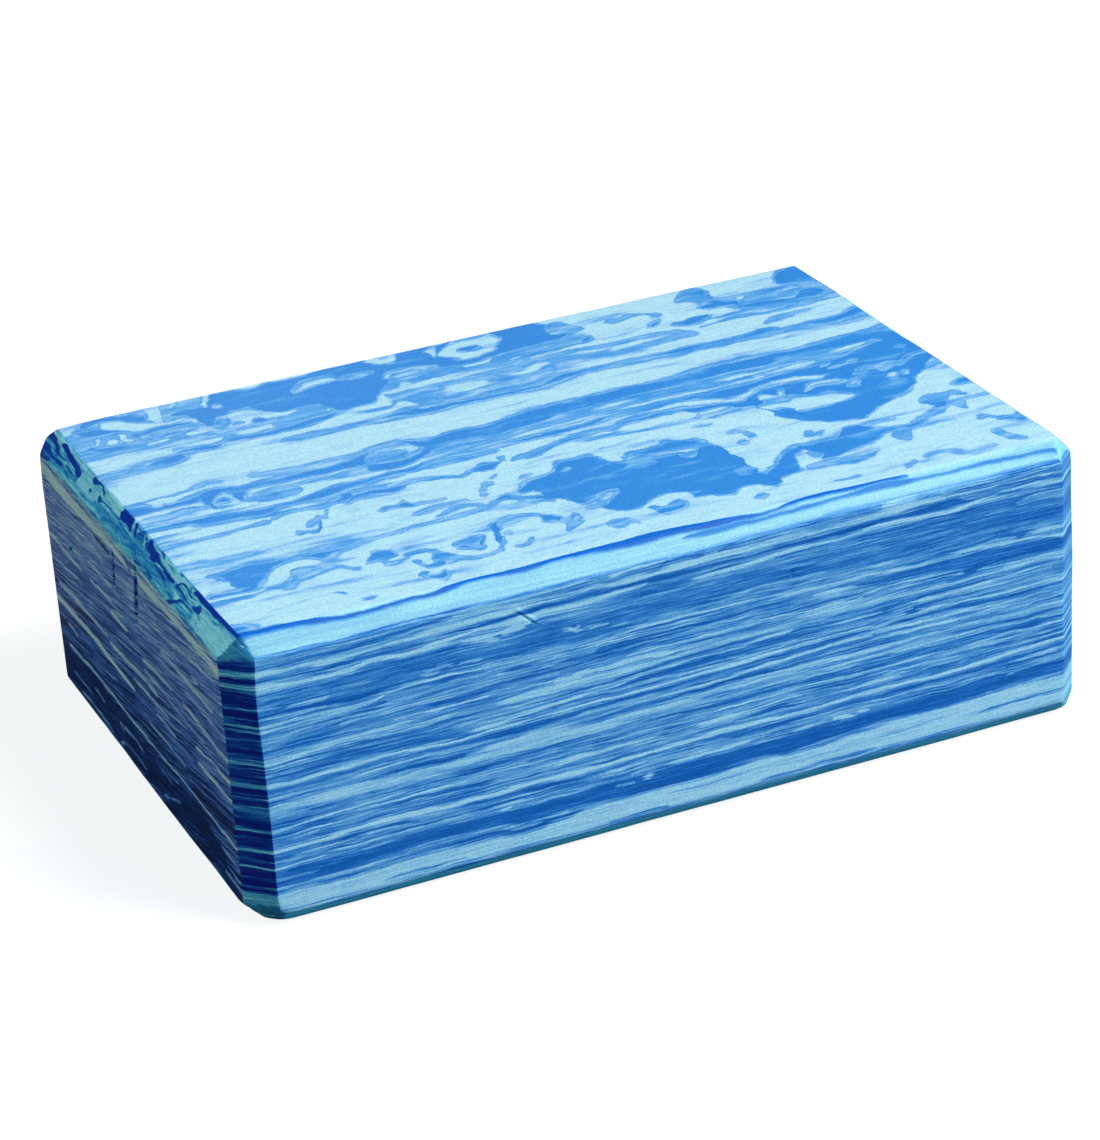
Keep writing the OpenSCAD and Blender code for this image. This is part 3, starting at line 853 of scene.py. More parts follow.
# %% Small deep shapes and lines of the top
TOP_LINES = (1.4, 130, [
    (0.86, (-104.6, 52, 55), (-103.4, 50, 52.6), (-101, 48.4, 51.4), (-97, 47, 50.6),
     (-93, 47.8, 50.4), (-90, 50, 51.4)),
    (0.9, (-106, 63.6, 64.6), (-102.6, 61, 65), (-99, 60, 64.4), (-96, 59.4, 61.8),
     (-92.8, 56.4, 59.4), (-91.6, 54.8, 57)),
    (0.92, (-103, 66.6, 68), (-99.6, 68, 73.4), (-96.4, 69.6, 76.4), (-93.4, 67.6, 71.6),
     (-90, 64.6, 70), (-87, 62.6, 68), (-85.8, 63, 65)),
    (0.85, (-90.4, 54.6, 56.4), (-86, 54.8, 57.8), (-80, 54.9, 56.6), (-76.4, 55, 56.2)),
    (0.8, (-92, 49.4, 51), (-88, 49.2, 51.8), (-84, 50, 52.4), (-81, 51, 52)),
    (0.9, (-78.6, 62, 64.6), (-75.6, 60.8, 66.4), (-73.4, 50.6, 64), (-71.2, 53, 61.4),
     (-69.4, 57.6, 61)),
    (0.75, (-67.6, 46.4, 48.6), (-66, 46.2, 49.8), (-64.8, 47.4, 49.4)),
    (0.82, (-62.2, 45.4, 48), (-60.6, 44.6, 49.6), (-58.6, 44.8, 47.4), (-56.8, 45.4, 46.6)),
    (0.45, (-58, 41, 43.4), (-52, 41.6, 47), (-47, 42.4, 49.4), (-43, 43.6, 49)),
    (0.8, (2.2, 62, 63.6), (4.4, 61, 65.2), (7, 61.3, 65.2), (9.2, 62.8, 64.6)),
    (0.7, (-18.6, 70.2, 72), (-17.2, 69.4, 73), (-16, 70.4, 72.4)),
    (0.97, (-3.6, 63.4, 65), (-2.6, 64.6, 67.4), (-1.3, 66.6, 69.2), (0.5, 68.6, 70.6),
     (2.2, 70.5, 72), (4, 72, 74)),
    (0.62, (-19.4, 55.4, 57.6), (-15, 54.8, 58.4), (-11.6, 55.4, 57.6)),
    (0.76, (-26, 43.4, 45.2), (-22, 42.9, 45), (-16, 43, 45), (-10, 43.7, 45.5), (-3, 43.8, 45.6),
     (3, 45, 46.4), (10, 44.6, 46), (18, 45.2, 46.8), (24, 45.5, 47.8), (32, 45.6, 47.4),
     (40, 45, 46.6), (50, 44.6, 46.2), (56, 43.6, 45.8), (60.4, 41.6, 44)),
    (0.72, (66, 43, 43.8), (72, 43.6, 45), (80, 43.6, 45.4), (86, 42.6, 44.2), (95, 42.8, 44.2),
     (103, 43, 45.2), (108, 44, 46.4), (116, 44, 47.4)),
    (0.75, (81, 36, 37), (84, 36.2, 38.6), (88, 37.2, 40.6), (92, 38.6, 40.8), (96.6, 39.4, 40.6)),
    (0.62, (53, 39.4, 40.6), (58, 39.2, 41.4), (63, 39.4, 40.8)),
    (0.85, (33.8, 49.6, 51.4), (35.4, 49.6, 54), (37.4, 52, 54.8)),
    (0.48, (28.8, 60, 66), (31, 59.4, 69), (34, 58.4, 69.6), (36.6, 58.8, 65), (38.4, 60, 62)),
    (0.8, (53.8, 50.4, 51.4), (55.6, 50.8, 54), (58.4, 53.2, 54.8)),
    (0.88, (-87.2, 2.6, 4.4), (-85.6, 1.4, 5.1), (-84, 1.8, 4)),
    (0.66, (-43, 6, 8.6), (-40, 5.8, 10.6), (-37, 6.4, 10.2), (-35.4, 7.4, 9)),
    (0.76, (-80.6, -0.8, 2), (-77, -2.6, 2.6), (-72, -3.2, 2.4), (-67.4, -1.4, 1.4)),
    (0.62, (-112, 13, 14), (-98, 12.6, 14), (-88, 13.6, 15.4), (-86, 14.4, 16.6), (-83, 13.8, 15)),
    (0.62, (-76, 14, 15.6), (-74, 12.6, 16), (-68, 11.4, 14.6), (-58, 10, 14), (-50, 9.8, 13.8),
     (-45, 12, 14)),
    (0.6, (-106, 1.6, 3.6), (-98, 1.7, 3.8), (-93, 1.6, 3.6)),
    (0.62, (-78, 1.4, 3.4), (-66, 1.8, 3.8), (-55, 1.6, 3.8), (-50, 1, 3)),
    (0.7, (-34, -6.4, -5.2), (-28, -6.3, -4.8), (-20, -5.8, -4.4), (-14.6, -5.2, -4.2)),
    (0.8, (-17.4, -11.6, -6), (-16.6, -12, -4.6), (-15.8, -10.4, -5.4)),
    (0.72, (-116, -16, -14.2), (-108, -16.1, -14.2), (-100, -16, -14.4), (-93, -16.6, -14.2),
     (-86, -16.2, -13.8), (-80, -16, -13)),
    (0.88, (-79, -13.9, -12.6), (-75, -12.7, -11), (-70.4, -13, -11.4), (-66, -14.8, -12),
     (-63, -13.8, -11.6), (-60, -12.6, -9.4), (-57.4, -10.6, -8.4)),
    (0.9, (-60.6, -15, -13.6), (-57, -13.2, -11), (-54, -12.6, -10.8), (-50, -13.6, -10.4),
     (-46.4, -14.7, -10.7), (-43, -12.4, -10), (-40, -11.6, -9.6), (-36, -12.8, -10.2),
     (-32, -14.2, -12), (-29, -15.9, -13.6), (-27.4, -15, -12.6), (-25, -13.6, -11),
     (-22.4, -14.6, -9.7), (-19.4, -14.7, -10.5), (-17.8, -12.6, -11.2)),
    (0.88, (-77.4, -25.6, -23.8), (-75.8, -26.4, -23.1), (-74, -26, -24.4), (-72, -27.2, -25),
     (-70.8, -26.6, -21.4), (-70, -22, -19.4)),
    (0.76, (-73.2, -22.8, -21), (-71.4, -22, -18.6), (-69.4, -19.8, -17), (-67.4, -20.4, -17.6),
     (-65.6, -17, -15.4)),
    (0.88, (-54.4, -24.3, -22.6), (-53, -23.8, -21.3), (-50, -23.6, -22.2), (-48.2, -24.2, -21.2),
     (-47, -24.8, -20.6), (-45.6, -25.2, -23.6), (-42, -26, -24.5), (-37.4, -26.1, -25)),
    (0.76, (-48, -30.5, -29.2), (-45, -30.3, -28.1), (-41, -29.3, -27.6), (-33, -29.3, -28)),
    (0.88, (-43.4, -34.2, -33), (-40, -33.2, -31), (-37, -32.4, -30.6), (-33, -33.6, -31.4),
     (-30, -34.4, -32.8)),
    (0.7, (-29, -29, -26.4), (-28.2, -28.6, -24), (-27.2, -25.8, -23)),
    (0.75, (-27, -23.5, -22), (-26, -23.6, -21), (-24.8, -22.4, -20.4)),
    (0.7, (-23, -20.4, -19), (-22, -20, -18.2), (-21, -18.8, -17.6)),
    (0.42, (-17, -23.6, -22.4), (-15, -23.6, -22), (-13.2, -23, -22)),
    (0.85, (-47.2, -52.2, -50), (-46, -54.8, -49.5), (-44, -56.2, -50), (-42, -57, -50.4),
     (-40, -55.6, -49.4), (-38.6, -52.4, -49.6)),
    (0.85, (-58.2, -57.2, -55), (-57, -59.2, -54.4), (-55.2, -60.4, -57), (-53.8, -60.4, -56),
     (-52.6, -59.6, -55)),
    (0.72, (-59.4, -64, -62.2), (-58, -65.8, -61), (-56.6, -68.8, -61), (-55, -67.4, -64),
     (-53.2, -65.4, -62.6)),
    (0.55, (-77, -69, -67.4), (-75, -69.4, -66.8), (-73.2, -68.6, -67.2)),
    (0.42, (-98, -63.8, -62.8), (-93, -62.8, -61.8), (-88, -61.8, -60.8), (-82, -61.6, -60.6),
     (-79.6, -64.2, -61.8)),
    (0.28, (-62, -45.2, -44), (-50, -44.5, -43.4), (-40, -43.7, -42.5), (-28, -43, -41.9)),
    (0.72, (-33.4, -51.8, -50.6), (-32, -52.2, -50.2), (-30.8, -51.4, -50.4)),
    (0.76, (-33.4, -61, -59.6), (-31.4, -61.2, -60), (-29.8, -60, -58.6), (-28.4, -58.6, -57)),
    (0.72, (-19.2, -58.8, -56), (-17.4, -58, -53.4), (-15.2, -56.6, -54)),
    (0.64, (-10, -62, -60), (-7.6, -63.4, -58), (-5, -61.8, -58.8), (-3, -63.4, -61.6)),
    (0.68, (3.6, -57.6, -55.2), (5.2, -62.6, -55), (7, -62, -57.4), (9, -61.6, -55.6),
     (11, -60.4, -55.2), (12.2, -58.8, -56.6)),
    (0.78, (28, -65.6, -64), (29.6, -66, -63.3), (31.4, -65.4, -63.6)),
    (0.72, (31, -50.4, -47.2), (33, -51.6, -46.5), (35, -51, -47)),
    (0.55, (47, -56.8, -54.2), (52, -58.4, -53.2), (58, -60.2, -54), (63, -58.6, -54),
     (67, -56.4, -54.4)),
    (0.45, (74, -52, -48), (77, -53.6, -46.4), (80, -50, -46)),
    (0.7, (72.6, -39.4, -38.4), (76, -40.2, -38), (79.4, -39.7, -38.7)),
    (0.72, (55.8, -38.4, -36), (57, -39.2, -34.6), (58.4, -37, -34.4)),
    (0.62, (58.6, -39.4, -37), (60, -38.6, -36), (61, -37, -36)),
    (0.66, (40, -26.6, -25.2), (42, -27.4, -24.5), (43.4, -31, -27), (46, -31.2, -29.4)),
    (0.62, (38.8, -33.6, -32.2), (40.6, -34.4, -31.2), (42.6, -33, -31.6)),
    (0.4, (34, -18.6, -17.2), (36.4, -19, -16.6), (38.6, -18.2, -17)),
    (0.72, (37.4, -12.8, -11.8), (38.6, -12.4, -10.6), (39.6, -11.4, -10)),
    (0.4, (48.6, -66.8, -65.4), (52, -67.4, -65), (56, -66.6, -65.4)),
    (0.64, (67.6, -69, -68), (69.6, -68.6, -66.6), (71.4, -67, -65.4)),
    (0.42, (75, -66, -63.6), (79, -65.6, -62.6), (84, -69.6, -65), (88, -70.6, -66),
     (93, -69.4, -65.8)),
    (0.64, (96.4, -61.2, -58.6), (98.4, -67.6, -58.6), (100, -68.6, -61), (101.6, -68.2, -65)),
    (0.64, (97.4, -43.2, -38.6), (99, -43.6, -38), (100.6, -41.4, -38.4)),
    (0.34, (99, -38.6, -36.8), (106, -39, -36), (115, -38, -34)),
    (0.92, (69, -14, -12), (71.4, -14.4, -11.2), (74.6, -14.2, -11), (77.2, -13.6, -11.6)),
    (0.86, (57, -23.6, -18.6), (58.4, -25, -17.8), (59.6, -24, -18.4)),
    (0.7, (9.6, -33.2, -29.4), (13, -34.4, -29.2), (16, -33, -30)),
    (0.92, (17, -34.6, -31.4), (20.6, -35, -30.4), (24, -34, -31)),
])
TOP_GLINTS = (1.15, 130, [
    (0.2, (-4.8, 66.6, 68.4), (-3.9, 62.6, 69.2), (-2.9, 65.6, 70.2), (-1.6, 69.2, 71.2),
     (0.4, 70.4, 72.8), (2.2, 72.2, 74.4)),
    (0.1, (0, 51.6, 52.8), (4, 51.7, 53.2), (8.4, 53.2, 54.3)),
    (0.18, (12, 50, 51), (15.6, 50.2, 51.6), (17.6, 51.2, 52)),
    (0.16, (-19.4, 46.8, 50), (-18, 47, 51.2), (-16.8, 47.4, 50.4)),
    (0.18, (83.6, 54.4, 57), (84.8, 54.4, 59), (86, 56.6, 58.4)),
    (0.2, (98, 55, 57), (100.4, 54.4, 58.6), (102.6, 55.4, 57.4)),
    (0.22, (-108, 4, 5), (-100, 4.3, 5.2), (-94, 4.6, 5.4)),
    (0.12, (-80, 1.4, 2.4), (-78.4, 3, 4.4), (-74, 4.2, 5.2), (-64, 4.3, 5.3), (-54, 4.4, 5.5),
     (-51, 3.6, 5), (-48.6, 2.2, 3.4)),
    (0.1, (-66, -0.6, 0.6), (-56, -0.4, 0.8), (-48, -1.6, 0), (-40, -2.6, -1.4), (-36, -1.4, -0.2),
     (-30, 0.2, 1.6), (-20, 0.1, 1.3), (-12, 0.4, 1.6), (-5, 1.1, 2.4), (5, 1.9, 3.1),
     (20, 2.6, 3.8), (35, 2.8, 4), (50, 2.4, 3.6), (64, 2.6, 3.8)),
    (0.24, (-30, 3.8, 4.8), (-20, 3.7, 4.9), (-10, 3.6, 4.8), (0, 4.6, 5.2), (14, 6, 6.6),
     (30, 6.8, 7.4)),
    (0.12, (56, 5.6, 6.6), (62, 5.8, 7.4), (70, 6, 7.4), (78, 6.4, 7.8), (86, 7.3, 8.7),
     (93, 8.5, 10), (98, 10, 10.9)),
    (0.16, (62, 3.8, 5), (68, 3.2, 5), (73, 2.4, 5.6), (77, 2.8, 6), (80, 4.6, 6)),
    (0.26, (80, 0.2, 1), (82, 0.6, 2.6), (83.4, 1.8, 3)),
    (0.3, (82, -2, -1), (84, -2, 0), (86.6, -1.6, -0.6), (89, -1.6, 0.8), (90.6, 0, 1)),
    (0.26, (103.6, 1.4, 3), (105, 0.6, 3.8), (106.2, 1.4, 3)),
    (0.04, (-40, -7.4, -6), (-34, -8.6, -6.6), (-26, -9, -6.4), (-16, -8.4, -5.6), (-8, -7, -4.8),
     (0, -5.9, -3.9), (10, -4.6, -2.6), (20, -3.7, -1.5), (30, -3.2, -1.1), (36, -3.3, -1),
     (42, -4.9, -1.6), (47, -7, -3.6), (51, -8.2, -5.3), (54.4, -7, -3.8), (58, -4.8, -1.8),
     (63, -3.8, -1), (68, -3.8, -1.2), (73, -4.9, -2.1), (77.4, -5.8, -3.6)),
    (0.2, (92.6, -16, -14), (93.8, -16.4, -12.4), (95, -14.6, -12.6)),
    (0.22, (96, -16, -14.4), (97.2, -15.6, -13), (98.4, -13.8, -12.4)),
    (0.2, (-107.6, -44, -40), (-105.6, -46.6, -38), (-103, -47.4, -40.6), (-100.6, -46.6, -42)),
    (0.12, (-63.2, -52.6, -51), (-61, -52.7, -50.2), (-58.8, -51.4, -49.4)),
    (0.45, (-45.2, -52.6, -49.2), (-43.4, -54, -49), (-41.8, -54.8, -49), (-40.4, -53, -49.2)),
    (0.14, (-56.2, -57.6, -55.4), (-55, -58, -55), (-54, -57.4, -55.6)),
    (0.1, (-57.6, -63.8, -62.4), (-56, -65, -62), (-54.6, -64, -62.4)),
    (0.14, (-17.8, -52, -50.6), (-16.6, -52.4, -50), (-15.4, -51.2, -49.2)),
    (0.4, (-6.6, -25.4, -24.4), (-5, -25.6, -23.6), (-4, -24.6, -23.4)),
    (0.45, (23.6, -33.4, -31), (26, -34.4, -31.4), (28, -33.6, -31.8)),
    (0.3, (51.2, -50.6, -47.4), (52.2, -51.4, -46), (53, -51, -47.6)),
    (0.1, (63.4, -40, -36.6), (66, -37.4, -35.6), (69.4, -38.6, -36.6), (73, -41.4, -39.8),
     (78, -43.4, -42), (82, -43.6, -42.4)),
    (0.24, (97.4, -37.4, -36), (99, -37.4, -35.4), (101.4, -37.4, -36)),
])
print("lines:", len(TOP_LINES[2]), "glints:", len(TOP_GLINTS[2]))

# %% [markdown]
# ## The bevels over the ends
#
# The saw cuts these bevels across the layers at a slant, so they show blotches and long
# strokes. A station runs along the width of the block: (y, lower, upper), and the last two
# are tenths of the way up the slope. The bevel over the long front edge follows the top,
# with stations in x.

# %% Lenses of the bevels
END_BEVEL = (1.3, 400, [
    (0.6, (-36, 0.4, 3), (-30, 0.6, 5), (-24, 1, 5.4), (-16, 1.4, 5.6), (-6, 1, 5.8), (4, 0.6, 5.6),
     (14, 0.6, 5.4), (24, 1.2, 5), (32, 1.6, 4.2), (44, 1.8, 3.6), (56, 0.6, 4), (64, 0.4, 5.4),
     (76, 0, 8)),
    (0.2, (-71, 1, 7), (-66, 1, 8.6), (-56, 1, 8), (-48, 1.4, 4.6)),
    (0.78, (-78, -1, 9), (-76, -0.6, 6.6), (-74, 0, 4), (-72.6, 0.4, 2.4)),
    (0.22, (13, 6.8, 10), (18, 6.6, 10), (24, 6.6, 9.6), (30, 2.4, 8), (38, 2.4, 9.2),
     (42, 3, 9.4)),
])
END_BEVEL_MARKS = (0.42, 400, [
    (0.98, (42.7, 5, 6), (43.6, 4.6, 7), (45.5, 4.7, 7.7), (48, 5.8, 8.2), (51, 6.1, 8.3),
     (54, 6.3, 8.7), (57, 6.9, 9.3), (60, 7.8, 9.9), (62.4, 8.1, 8.9)),
    (0.95, (55, 5.1, 5.5), (58, 4.7, 5.6), (61, 4.4, 6.2), (64, 4.5, 7.2), (66.5, 5.1, 7.9),
     (69, 6, 8.5), (71.5, 6.2, 8.9), (76, 6.4, 9.2)),
    (0.97, (54.8, 3, 3.8), (57, 2.4, 4), (60, 2.3, 3.6), (63, 2, 3.2), (65.4, 2.1, 3.4),
     (67.4, 1.9, 4.6), (70, 1.8, 4.8), (74, 2, 5)),
    (0.8, (63, 0.6, 1.6), (66, -0.6, 1.8), (69, -0.8, 1.8), (74, -1, 1.8)),
    (0.85, (47.6, 3.9, 4.3), (49, 3.6, 4.7), (52, 3.9, 4.8), (53.4, 4.2, 4.6)),
    (0.97, (25.4, 7.4, 8.4), (27, 8.4, 9.3), (29, 9, 10), (31, 8.7, 10.2), (32.6, 8.2, 10),
     (34, 7.6, 10), (35.4, 8, 9.8)),
    (0.6, (36, 9.6, 10.1), (42, 9.5, 10.1), (50, 9.4, 10), (53, 9.6, 10)),
    (0.85, (32.4, 4.6, 5.4), (33.4, 4.3, 5.7), (34.4, 4.8, 5.6)),
    (0.9, (11, 5.6, 6.4), (14, 5.8, 6.4), (18, 5.7, 6.5), (21, 5.6, 6.3), (24, 5.5, 6.2),
     (25.8, 4.4, 6.6), (27.4, 5.2, 6.4)),
    (1.0, (2.2, 6, 6.8), (3.2, 6.1, 8), (3.8, 6.4, 10.6), (6, 6.6, 11), (8, 6.3, 11), (10, 6.2, 11),
     (11.4, 6.5, 11), (12, 7, 10)),
    (0.97, (-1.8, 5.9, 6.3), (-0.6, 6, 7.2), (0.2, 6.4, 9), (0.9, 7.2, 10.4), (1.8, 8.6, 10.2)),
    (0.74, (-7, 7, 9.6), (-5.6, 5.9, 10), (-4, 6, 10.6), (-2.4, 6.2, 9.6), (-1.2, 6.6, 8)),
    (0.82, (-13, 5.8, 7), (-10.6, 5.7, 7.6), (-8.6, 5.9, 8.6), (-7.4, 6.4, 7.6)),
    (0.98, (-31.2, 5.6, 6.4), (-29.6, 5.3, 6.8), (-27, 5.4, 7.1), (-24, 5.8, 7.2), (-21, 6.2, 7.4),
     (-18.6, 6, 7.9), (-16.4, 5, 8.6), (-14.4, 5, 8.8), (-13, 6.2, 9.2), (-11.4, 6.6, 9.4),
     (-10, 7.4, 10.4), (-8.8, 8.6, 10.2)),
    (0.95, (-26.4, 3.8, 4.6), (-23, 4, 5.2), (-20, 4.5, 5.4), (-17.6, 4.6, 5.2)),
    (0.85, (-20.6, 8.7, 9.4), (-18.8, 9, 10.3), (-17, 9.8, 10.4)),
    (0.76, (-7, 1.9, 2.9), (-4, 2.2, 3), (-1, 1.8, 2.6), (1, 1.6, 2)),
    (0.74, (-9, 4.2, 4.8), (-5.6, 3.9, 4.6), (-2.4, 3.7, 4.2)),
    (0.84, (-22, 1.2, 1.6), (-20, 0.9, 2.1), (-17.6, 1.2, 2.2), (-14.6, 1.4, 2.2),
     (-11.6, 0.4, 1.4), (-8.4, -0.1, 0.8)),
    (0.9, (-43, 6.9, 7.5), (-41, 7, 7.7), (-38.6, 7.6, 8.4), (-36.6, 7.7, 8.6), (-35, 7.2, 8.2),
     (-33.8, 6.2, 7.4)),
    (0.9, (-44.6, 4.8, 5.2), (-42, 4.9, 5.6), (-39, 5.1, 6.1), (-36, 5.3, 6.5), (-33.4, 5.7, 6.6),
     (-32.4, 6, 6.4)),
    (0.92, (-47, 3.5, 4), (-44, 3.5, 4.3), (-41, 3.5, 4.4), (-39.2, 2.8, 4.2), (-37.6, 1.2, 3),
     (-36.2, -0.2, 1.8), (-35, -0.3, 1.2), (-33.4, -0.2, 0.4)),
    (0.72, (-35.4, 1.6, 2.4), (-33.6, 2.2, 2.8), (-31.8, 2.2, 2.6)),
    (0.9, (-49.8, 5, 7.4), (-48.6, 4.6, 7.6), (-47, 4.6, 6.2), (-45.6, 5, 5.6)),
    (0.72, (-52.8, 4.2, 4.7), (-51, 4.1, 4.8), (-50, 4.4, 4.8)),
    (0.62, (-52.6, 2.4, 2.8), (-51.4, 2.2, 3.1), (-50.6, 2.4, 2.8)),
    (1.0, (-72.4, 9.8, 10.6), (-70, 9.3, 11), (-66, 9.1, 10.9), (-62, 8.8, 10.6), (-58, 8.7, 10.6),
     (-53, 8.6, 10.6), (-48, 8.3, 10.8), (-45, 8.4, 10.8), (-43.4, 8.3, 10.2), (-42.4, 8.4, 9.2)),
    (0.62, (-61, 7.4, 8.4), (-59, 6.8, 8), (-57.4, 7, 7.8)),
    (0.8, (-33.4, 9.4, 10.2), (-32, 9.3, 10.3), (-31, 9.6, 10)),
    (0.62, (-41, 7.4, 9), (-40, 7.6, 9.8), (-39.2, 8.4, 9.4)),
])
END_BEVEL_GLINTS = (0.34, 400, [
    (0.34, (1.4, 6.4, 7), (2.3, 6.9, 8.2), (2.9, 8, 10.4)),
    (0.3, (-9, 5.9, 6.3), (-7.6, 6.2, 7.2), (-6.4, 7.2, 8.6), (-5.4, 8.4, 9.6)),
    (0.5, (64, 5.2, 5.6), (67, 5.1, 6), (70, 5.2, 6.1)),
    (0.52, (57, 3.9, 4.3), (61, 3.6, 4.1), (65, 3.5, 4)),
    (0.55, (47, 4.7, 5.3), (51, 5, 5.6), (55, 5.4, 5.9), (59, 6, 6.5), (64, 7.3, 7.9)),
    (0.45, (-46, 6, 6.4), (-42, 5.9, 6.6), (-38, 6.4, 7.2), (-35.6, 6.7, 7.2)),
])
FRONT_BEVEL = (0.30, 240, [
    (1.0, (-113, -71.8, -69.3), (-106, -71.9, -69.8), (-98, -72.1, -70.2), (-90, -72.5, -71),
     (-84, -72.9, -71.8), (-78, -73, -72), (-70, -72.9, -72), (-62, -72.9, -71.9),
     (-56, -72.6, -71.2), (-48, -72.3, -70.9), (-40, -72.4, -71), (-32, -72.3, -70.6),
     (-22, -72.2, -70.4), (-14, -72.7, -70), (-6, -72.8, -69.8), (2, -72.6, -69.9),
     (8, -72.7, -70.4), (14, -72.9, -71.1), (22, -73, -71.8), (29, -73, -72.3), (34, -72.6, -71.3),
     (40, -72.3, -70.6), (50, -72.4, -70.9), (58, -72.4, -71.2), (66, -72.3, -71.7)),
    (0.95, (4, -73.6, -73.2), (12, -73.9, -72.7), (20, -74, -72.9), (28, -73.9, -73.2),
     (38, -73.9, -73), (45, -73.6, -72.9), (55, -73.5, -72.3), (62, -73.6, -72.2),
     (70, -73.4, -72.8), (80, -73.5, -72.8), (88, -73.7, -72.7), (98, -74.1, -73.3),
     (110, -74.6, -73.9)),
    (0.58, (10, -76.6, -75.5), (30, -76.6, -75.6), (50, -76.6, -75.2), (70, -76.6, -75.4),
     (90, -76.6, -75.3), (104, -76.6, -75.5), (116, -76.6, -75.8)),
    (0.78, (-10, -76.5, -76.1), (4, -76.3, -75.8), (14, -76.2, -75.8), (24, -76.4, -76)),
    (0.04, (4, -74.9, -74.5), (20, -75.2, -74.4), (36, -75, -74.1), (52, -74.9, -74),
     (70, -74.6, -73.9), (88, -74.9, -74.1), (102, -75.4, -74.8)),
])
print("bevel lenses:", len(END_BEVEL_MARKS[2]), "and", len(FRONT_BEVEL[2]))

# %% [markdown]
# ## The streaks of the sides
#
# From the side the same lenses are seen edge on, hundreds of millimetres long and one or two
# thick. A station here is (x, lower z, upper z).

# %% Broad bands of the long side
SIDE_BANDS = (0.85, 400, [
    (0.8, (-116, 55.5, 62), (-100, 56.4, 62.2), (-90, 55, 62.3), (-84, 54.7, 62.4),
     (-78, 54.9, 63.2), (-70, 56.3, 62.8), (-60, 56.4, 62.7), (-50, 56.2, 62), (-40, 56, 62.6),
     (-20, 55.6, 64.2), (-5, 56, 65.8), (10, 56.5, 64), (25, 57.6, 64.5), (40, 56.5, 64.6),
     (60, 55.6, 65.3), (80, 55.3, 64.9), (100, 54.6, 65), (116, 54.5, 65)),
    (0.22, (-116, 43.7, 46.2), (-104, 43.5, 46.5), (-97, 43.8, 46), (-90, 44.4, 46.2),
     (-80, 43.8, 45.8), (-70, 43.6, 45.2), (-62, 44, 45.5), (-57, 45, 46), (-53, 44.6, 45.4),
     (-45, 43.5, 46), (-35, 43.3, 46.8), (-25, 43.2, 46.8), (-15, 43.3, 46.7), (-5, 44.2, 46.4),
     (10, 44.9, 46.8), (20, 45.2, 47.2), (30, 45.2, 47.5), (40, 45.4, 47.8), (55, 45, 46.8),
     (65, 45.2, 46.5), (74, 45.2, 46.8), (84, 45, 46.5), (95, 45.2, 47), (116, 44.6, 47)),
    (0.22, (-116, 29.9, 33), (-104, 29.8, 33), (-96, 30.2, 32.9), (-90, 30, 33.2), (-80, 29.8, 33),
     (-70, 29.9, 32.3), (-60, 29.9, 32.8), (-54, 30, 33.8), (-45, 30, 34.2), (-35, 30.3, 34.3),
     (-22, 30.3, 33.2), (-10, 30.3, 33.5), (0, 30.7, 33.3), (10, 30.8, 33.5), (20, 30, 33.5),
     (30, 30, 33.8), (40, 30, 34), (50, 30.2, 33.7), (60, 30.3, 33.7), (70, 30.3, 33.6),
     (80, 30.3, 33.8), (90, 30, 33.3), (100, 30, 34), (116, 29.5, 34)),
    (0.93, (-116, 11.3, 15.3), (-100, 11, 15.5), (-90, 11.2, 16), (-80, 11.8, 15.8),
     (-70, 12.3, 16), (-60, 12.2, 16), (-50, 11.8, 16), (-44, 10.7, 15.6), (-38, 10.7, 15.1),
     (-30, 11.4, 15.3), (-20, 10.5, 15.3), (-10, 10.3, 15.4), (0, 10.2, 15.8), (10, 10.7, 15.8),
     (20, 11, 15.8), (30, 10.8, 15.8), (40, 11.5, 15.9), (50, 12, 16.1), (60, 12.3, 16.3),
     (75, 12.3, 16.9), (90, 12.8, 17.5), (105, 12.8, 17.1), (116, 12.8, 17)),
    (0.13, (-116, 4.2, 9.2), (-100, 4.2, 9.6), (-92, 4.2, 9.2), (-80, 4.2, 9.5), (-70, 4.2, 9.6),
     (-60, 4.2, 9.5), (-50, 4.2, 8.9), (-42, 4.2, 8.2), (-36, 4.2, 9), (-28, 4.2, 9.9),
     (-15, 4.2, 10.1), (0, 4.2, 9.8), (8, 4.2, 9.8), (15, 4.2, 10.6), (22, 4.2, 10.8),
     (30, 4.2, 9.9), (38, 4.2, 10), (46, 4.2, 11), (56, 4.2, 11.2), (65, 4.2, 11.8),
     (75, 4.2, 11.5), (85, 4.2, 12), (93, 4.2, 12.5), (100, 4.2, 12), (116, 4.2, 12)),
    (0.16, (-116, 66.4, 69), (-104, 66.3, 68.8), (-96, 66.7, 68.7), (-88, 65.6, 68.3),
     (-78, 66.5, 68.2), (-66, 66.5, 69), (-60, 66.7, 69.5), (-50, 66.7, 69.4), (-40, 67.5, 69.3),
     (-30, 67.6, 69), (-20, 68, 69.4), (-10, 67.6, 70.2), (-4, 67.7, 69.7), (2, 67.8, 70.5),
     (10, 68, 70.3), (20, 68, 69.9), (30, 68.2, 70.2), (40, 68, 70), (55, 68.3, 70.4),
     (62, 68.8, 71.4), (70, 69, 71), (76, 69.1, 70.4), (83, 69.3, 69.9)),
    (0.42, (14, 56, 57), (25, 55.5, 57.7), (35, 54.5, 57.7), (45, 54.3, 56.6), (58, 54, 55.6)),
    (0.38, (-116, 70, 71.6), (-90, 70, 71.2), (-60, 70.2, 71.2), (-45, 70, 71.6), (-30, 70, 72),
     (-12, 71.4, 72.4), (4, 71.6, 72.6), (30, 71.8, 72.6)),
])
print("bands:", len(SIDE_BANDS[2]), "in", len(pack_rows(SIDE_BANDS[2], 400)), "rows")

